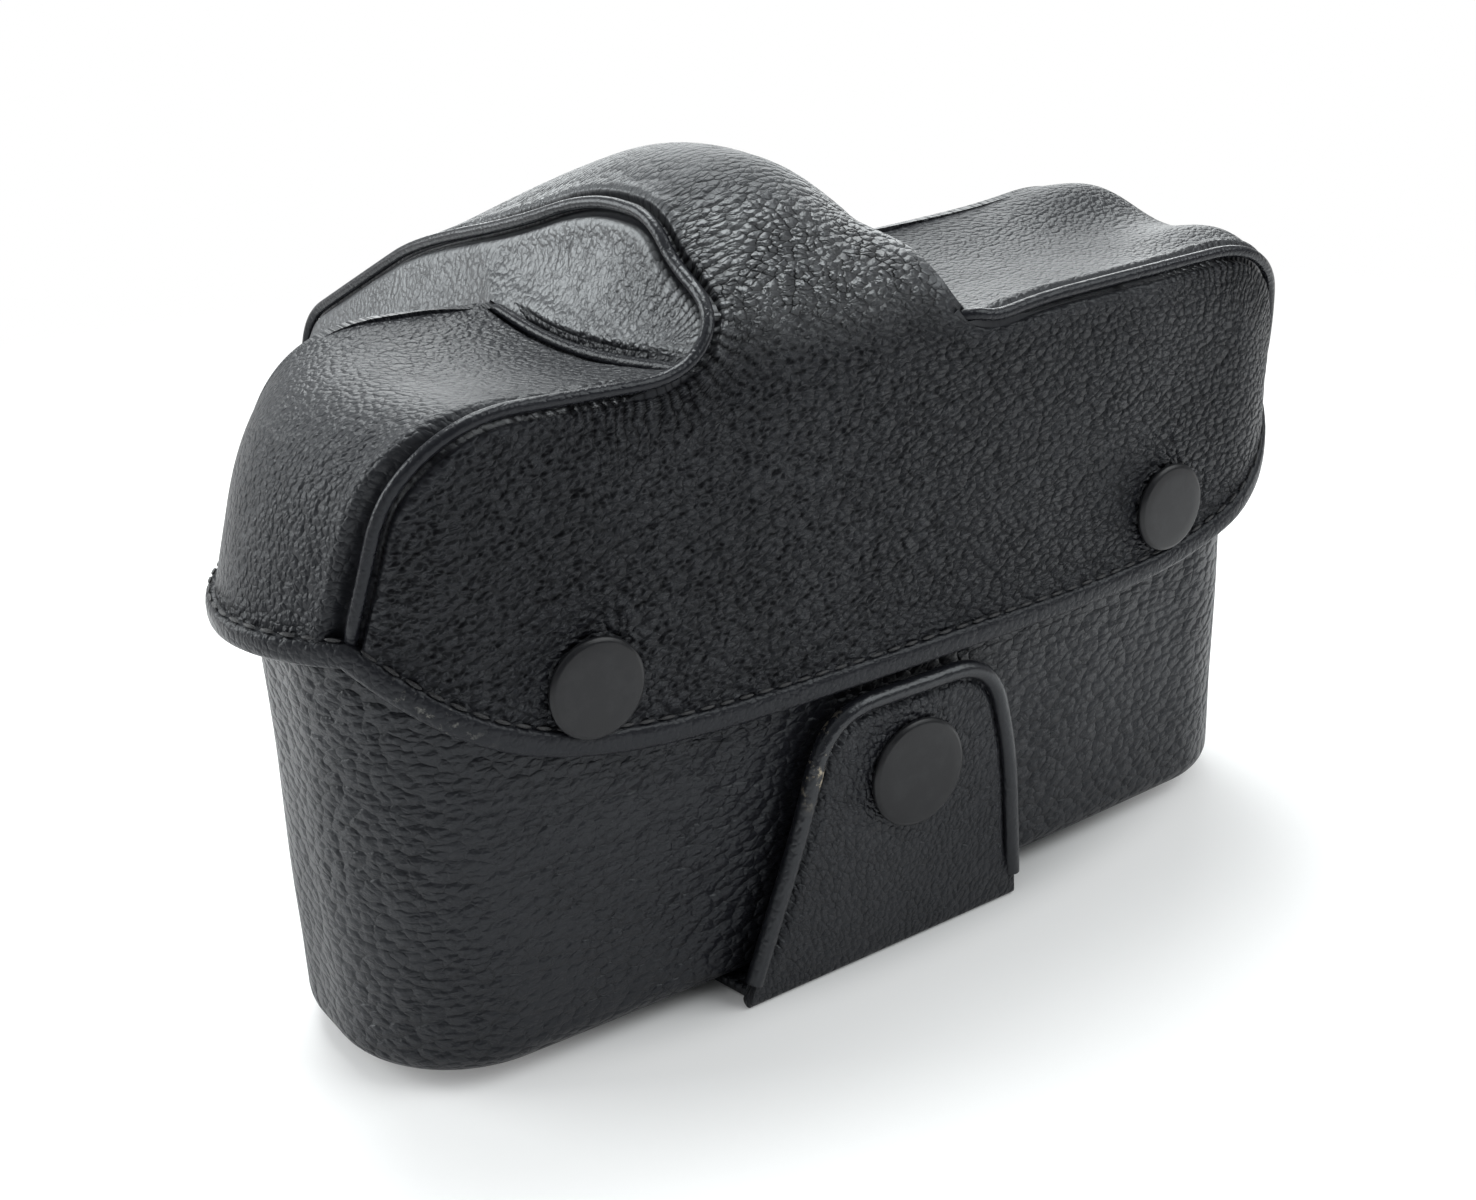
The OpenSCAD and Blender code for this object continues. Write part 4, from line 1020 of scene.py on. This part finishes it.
shape, marks = relieved_tray()
piece("lower_leather", shape, "lower_half", tray_hide, ["lower_shell"], marks=marks)
points, faces = tray(LEATHER + 0.3, LINING_T - 0.2, LINING_FLOOR_Z, 1.5, 1.2, NOTCH_R + 0.8)
piece("lower_pile", (points.reshape(-1, 3), faces), "lower_half", lining_pile, ["lower_lining"])


# ---- strap and tongue ----

def strap_shape(stations=160):
    """The strap: a flat oval profile carried from its seam on the nose, under the floor, to the fold of the tongue."""
    route = resample(soft_path([(STRAP_END_Y, STRAP_SEAM_Z), (STRAP_END_Y, NOSE_TIP_Z - 4), (CASE_HD + 3, FOLD_Z),
                                (TONGUE_Y + STRAP_T / 2 + FOLD_GAP, FOLD_Z)], [5, 5]), stations)
    y = route[:, 0]
    middle = mix(TONGUE_ROOT_X, HUMP_X, np.minimum(1, (y - TONGUE_Y) / (2 * CASE_HD)))
    half = mix(STRAP_BACK_HW, STRAP_FRONT_HW, smooth((y + CASE_HD) / (2 * CASE_HD)))
    path = np.column_stack([middle, route])
    d = unit(np.gradient(route, axis=0))
    out = np.column_stack([np.zeros(len(d)), -d[:, 1], d[:, 0]])
    flat = oval(1.0, 1.0, 9.0, 40)
    profile = flat[None] * np.stack([np.full_like(half, STRAP_T / 2), half], -1)[:, None]
    points = path[:, None] + out[:, None] * profile[..., :1] + np.array([1.0, 0, 0]) * profile[..., 1:]
    up = np.broadcast_to(run_of(route)[:, None], points.shape[:2])
    marks = {"grain_across": points[..., 0].ravel(), "grain_up": up.ravel()}
    return (points.reshape(-1, 3), tube_faces(len(path), len(flat))), marks


shape, marks = strap_shape()
piece("strap_leather", shape, "lower_half", tongue_hide, ["strap"], sharp=50, marks=marks)

WAIST_Z = 0.62 * TONGUE_TOP_Z
tongue_outline = soft_path([
    (TONGUE_ROOT_X - TONGUE_FOOT_HW, FOLD_Z), (-TONGUE_TIP_HW - 4.6, WAIST_Z), (-TONGUE_TIP_HW, TONGUE_TOP_Z),
    (TONGUE_TIP_HW, TONGUE_TOP_Z), (TONGUE_TIP_HW + 3.5, WAIST_Z), (TONGUE_ROOT_X + TONGUE_FOOT_HW, FOLD_Z)],
    [7, 7.5, 7, 7])


def tongue_shape(columns=90, levels=90):
    """The tongue: its front face from the top down, round the fold, and its back face up again.

    Its sides follow the outline at each height, and the front dips next to the piping."""
    half = len(tongue_outline) // 2
    left, right = tongue_outline[:half], tongue_outline[half:][::-1]
    z = mix(TONGUE_TOP_Z - 0.02, FOLD_Z, np.linspace(0, 1, levels) ** 1.3)
    bend = np.linspace(0, np.pi, 14)[1:-1]
    r = STRAP_T / 2
    height = np.concatenate([z, FOLD_Z - r * np.sin(bend), z[::-1]])
    depth = np.concatenate([np.full(levels, TONGUE_Y - r), TONGUE_Y - r * np.cos(bend), np.full(levels, TONGUE_Y + r)])
    at = np.maximum(height, FOLD_Z)
    a, b = (np.interp(at, side[:, 1], side[:, 0]) for side in (left, right))
    x = mix(a[:, None], b[:, None], np.linspace(0, 1, columns + 1)[None])
    grid = np.stack([x, np.repeat(depth[:, None], columns + 1, 1), np.repeat(height[:, None], columns + 1, 1)], -1)
    rim = resample(np.column_stack([tongue_outline[:, 0], np.full(len(tongue_outline), TONGUE_Y - r),
                                    tongue_outline[:, 1]]), 400)
    d, _ = nearest(grid, rim)
    front = (np.arange(len(height)) < levels)[:, None]
    dip = np.where(front, turned_edge(d, *TONGUE_EDGE) * smooth((grid[..., 2] - 3) / 6), 0)
    grid[..., 1] -= dip
    n, wide = grid.shape[:2]
    index = np.arange(n * wide).reshape(n, wide)
    join = np.stack([index[-1, :-1], index[-1, 1:], index[0, 1:], index[0, :-1]], -1)
    i = np.arange(n // 2 - 1)
    sides = [np.stack([index[i, k], index[i + 1, k], index[n - 2 - i, k], index[n - 1 - i, k]], -1)
             for k in (0, wide - 1)]
    marks = {"grain_across": grid[..., 0].ravel(), "grain_up": spread(grid)[1].ravel()}
    return (grid.reshape(-1, 3), np.concatenate([grid_faces(n, wide), join, *sides])), marks


shape, marks = tongue_shape()
piece("tongue_leather", shape, "tongue", tongue_hide, ["tongue_flap"], sharp=50, marks=marks)
rim = resample(tongue_outline, 300)[8:-8]
rim = np.column_stack([rim[:, 0], np.full(len(rim), TONGUE_Y - 0.25), rim[:, 1]])
piece("tongue_edge_piping", tube(rim, np.tile([0, -1.0, 0], (len(rim), 1)), oval(PIPING_R, PIPING_R)), "tongue",
      piping_hide, ["tongue_binding"])


# ---- snap caps and metal ----

def cap_profile(r):
    """Section of a snap cap: a nearly flat crown, a rounded bevel, and a tucked edge."""
    return soft_path([(0.01, 1.46), (r - 1.8, 1.4), (r - 0.55, 1.26), (r - 0.06, 0.95), (r, 0.55), (r - 0.35, 0.1),
                      (0.01, 0.06)], [0.6, 0.2, 0.2, 0.2, 0.15], 6)


def wall_turn(x, hw):
    """Turn of the bowed wall's normal at x."""
    return np.arctan(2 * WALL_BOW * x / hw ** 2)


for side, word in SIDES.items():
    x, z = side * HOOD_SNAP[0], HOOD_SNAP[1]
    at = np.array([x, -plan_y(x, HOOD_HW, HOOD_HD, HOOD_R), z])
    piece(f"snap_cap_{word}", lathe(cap_profile(HOOD_CAP_R), at, wall_turn(x, HOOD_HW)), "hood", cap_enamel,
          [f"hood_cap_{word}"])
at = np.array([0, TONGUE_Y - STRAP_T / 2, TONGUE_SNAP_Z])
piece("snap_cap_tongue", lathe(cap_profile(TONGUE_CAP_R), at, 0.0), "tongue", cap_enamel, ["tongue_cap"])

snap_halves = [name for half in ("stud", "post", "socket")
               for name in (f"hood_{half}_left", f"hood_{half}_right", f"tongue_{half}")]
kept = {plated: [*snap_halves, "camera_screw", "screw_clip"], turned_brass: ["screw_bush"], fibre_board: ["base_board"]}
for material, nodes in kept.items():
    for name in nodes:
        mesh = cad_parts[name].data
        mesh.materials.clear()
        mesh.materials.append(material)


# ---- stage, light and camera ----

FLOOR_HALF, FLOOR_COLOUR, FLOOR_LIFT = 40.0, (0.8, 0.8, 0.8), 0.25
FOOT_SPAN, NEAR_FLOOR = (0.077, 0.032), (0.16, 0.42)


def stage_floor():
    """Pale floor that takes the shadow near the object; away from it the camera and reflections see it white. Its glow
    for those rays is nil at the object's foot and grows outward, so round the foot the floor is also painted darker:
    painted shade.
    """
    mesh = bpy.data.meshes.new("floor")
    corners = np.array([(-1, -1, 0), (1, -1, 0), (1, 1, 0), (-1, 1, 0)]) * FLOOR_HALF
    mesh.from_pydata(corners.tolist(), [], [(0, 1, 2, 3)])
    n = Finish("floor")
    n.tree.nodes.remove(n.shader)
    path = n.add("ShaderNodeLightPath").outputs
    seen = n.math("ADD", path["Is Camera Ray"], path["Is Glossy Ray"])
    seen = n.math("ADD", seen, path["Is Transmission Ray"], clamp=True)
    far = n.ramp(n.vector("DISTANCE", n.place, (0.0, 0.02, 0.0)), *NEAR_FLOOR)
    foot = n.add("ShaderNodeMapping", {"Vector": n.place, "Scale": (1 / FOOT_SPAN[0], 1 / FOOT_SPAN[1], 1.0)})
    # Painted shade round the foot: the glow that camera and reflections see is nil inside the foot's oval and grows to
    # FLOOR_LIFT outside it.
    lift = n.ramp(n.vector("LENGTH", foot.outputs[0]), 0.66, 1.06, 0.0, FLOOR_LIFT)
    plain = n.add("ShaderNodeBsdfDiffuse", {"Color": FLOOR_COLOUR}).outputs[0]
    glow = n.add("ShaderNodeEmission", {"Strength": n.times(seen, lift)}).outputs[0]
    near = n.add("ShaderNodeAddShader", {0: plain, 1: glow}).outputs[0]
    white = n.add("ShaderNodeEmission", {"Strength": 1.0}).outputs[0]
    both = n.add("ShaderNodeMixShader", {0: n.times(far, seen), 1: near, 2: white}).outputs[0]
    n.put(n.tree.nodes["Material Output"].inputs["Surface"], both)
    mesh.materials.append(n.material)
    put_in_scene("floor", mesh)


def room():
    """Pale room: bright behind and above the object, dimmer on the camera's side."""
    world = bpy.data.worlds.new("room")
    bpy.context.scene.world = world
    world.use_nodes = True
    world.node_tree.nodes.clear()
    n = Nodes(world.node_tree)
    bright = n.ramp(n.vector("DOT_PRODUCT", n.where["Generated"], (-0.1, 0.8, 0.6)), -0.5, 0.7, 0.15, 0.6)
    shade = n.add("ShaderNodeBackground", {"Color": (0.96, 0.99, 1.0), "Strength": bright}).outputs[0]
    n.put(n.add("ShaderNodeOutputWorld").inputs["Surface"], shade)


def stand(name, data, place, right, up, back):
    """A lamp or camera at a place, with its own three axes along right, up and back."""
    turn = Matrix(np.column_stack([right, up, back]).tolist())
    made = put_in_scene(name, data)
    made.matrix_world = Matrix.LocRotScale(np.array(place, float).tolist(), turn, None)
    return made


def soft_box(name, place, aim_z, size, power):
    """A square area lamp aimed at a height on the object's axis."""
    lamp = bpy.data.lights.new(name, "AREA")
    lamp.shape, lamp.size, lamp.energy, lamp.color = "SQUARE", size, power, LAMP_TINT
    back = unit(np.array(place, float) - np.array([0, 0, aim_z]))
    right = unit(np.cross([0, 0.2, 1.0], back))
    stand(name, lamp, place, right, np.cross(back, right), back)


stage_floor()
room()
LAMP_TINT = (0.97, 1.0, 1.0)
soft_box("top_light", (0.12, 0.42, 1.06), 0.06, 0.6, 10.3)
soft_box("front_light", (0.62, -0.62, 0.8), 0.06, 0.75, 6.3)
soft_box("left_light", (-0.8, 0.78, 0.5), 0.07, 0.7, 8.6)
soft_box("back_light", (0.76, 1.07, 0.54), 0.07, 1.0, 9.8)

FRAME_W, FOCAL_PX, SENSOR_W = 1476, 1850.0, 36.0
AZIMUTH, ELEVATION, ROLL, DISTANCE, AIM = -34.2, 22.0, -2.5, 254.6, (-9.5, 0.0, 44.9)


def photo_camera():
    """Camera turned round the aim point by azimuth, elevation and roll, with its focal length given in pixels."""
    az, el, roll = np.radians([AZIMUTH, ELEVATION, ROLL])
    back = np.array([np.sin(az) * np.cos(el), -np.cos(az) * np.cos(el), np.sin(el)])
    level = np.array([np.cos(az), np.sin(az), 0])
    upright = np.cross(back, level)
    right = level * np.cos(roll) + upright * np.sin(roll)
    up = -level * np.sin(roll) + upright * np.cos(roll)
    data = bpy.data.cameras.new("camera")
    data.sensor_width = SENSOR_W
    data.lens = FOCAL_PX / FRAME_W * SENSOR_W
    data.clip_start, data.clip_end = 0.01, 50
    bpy.context.scene.camera = stand("camera", data, (np.array(AIM) + back * DISTANCE) * MM, right, up, back)


photo_camera()
bpy.context.scene.view_settings.view_transform = "Standard"
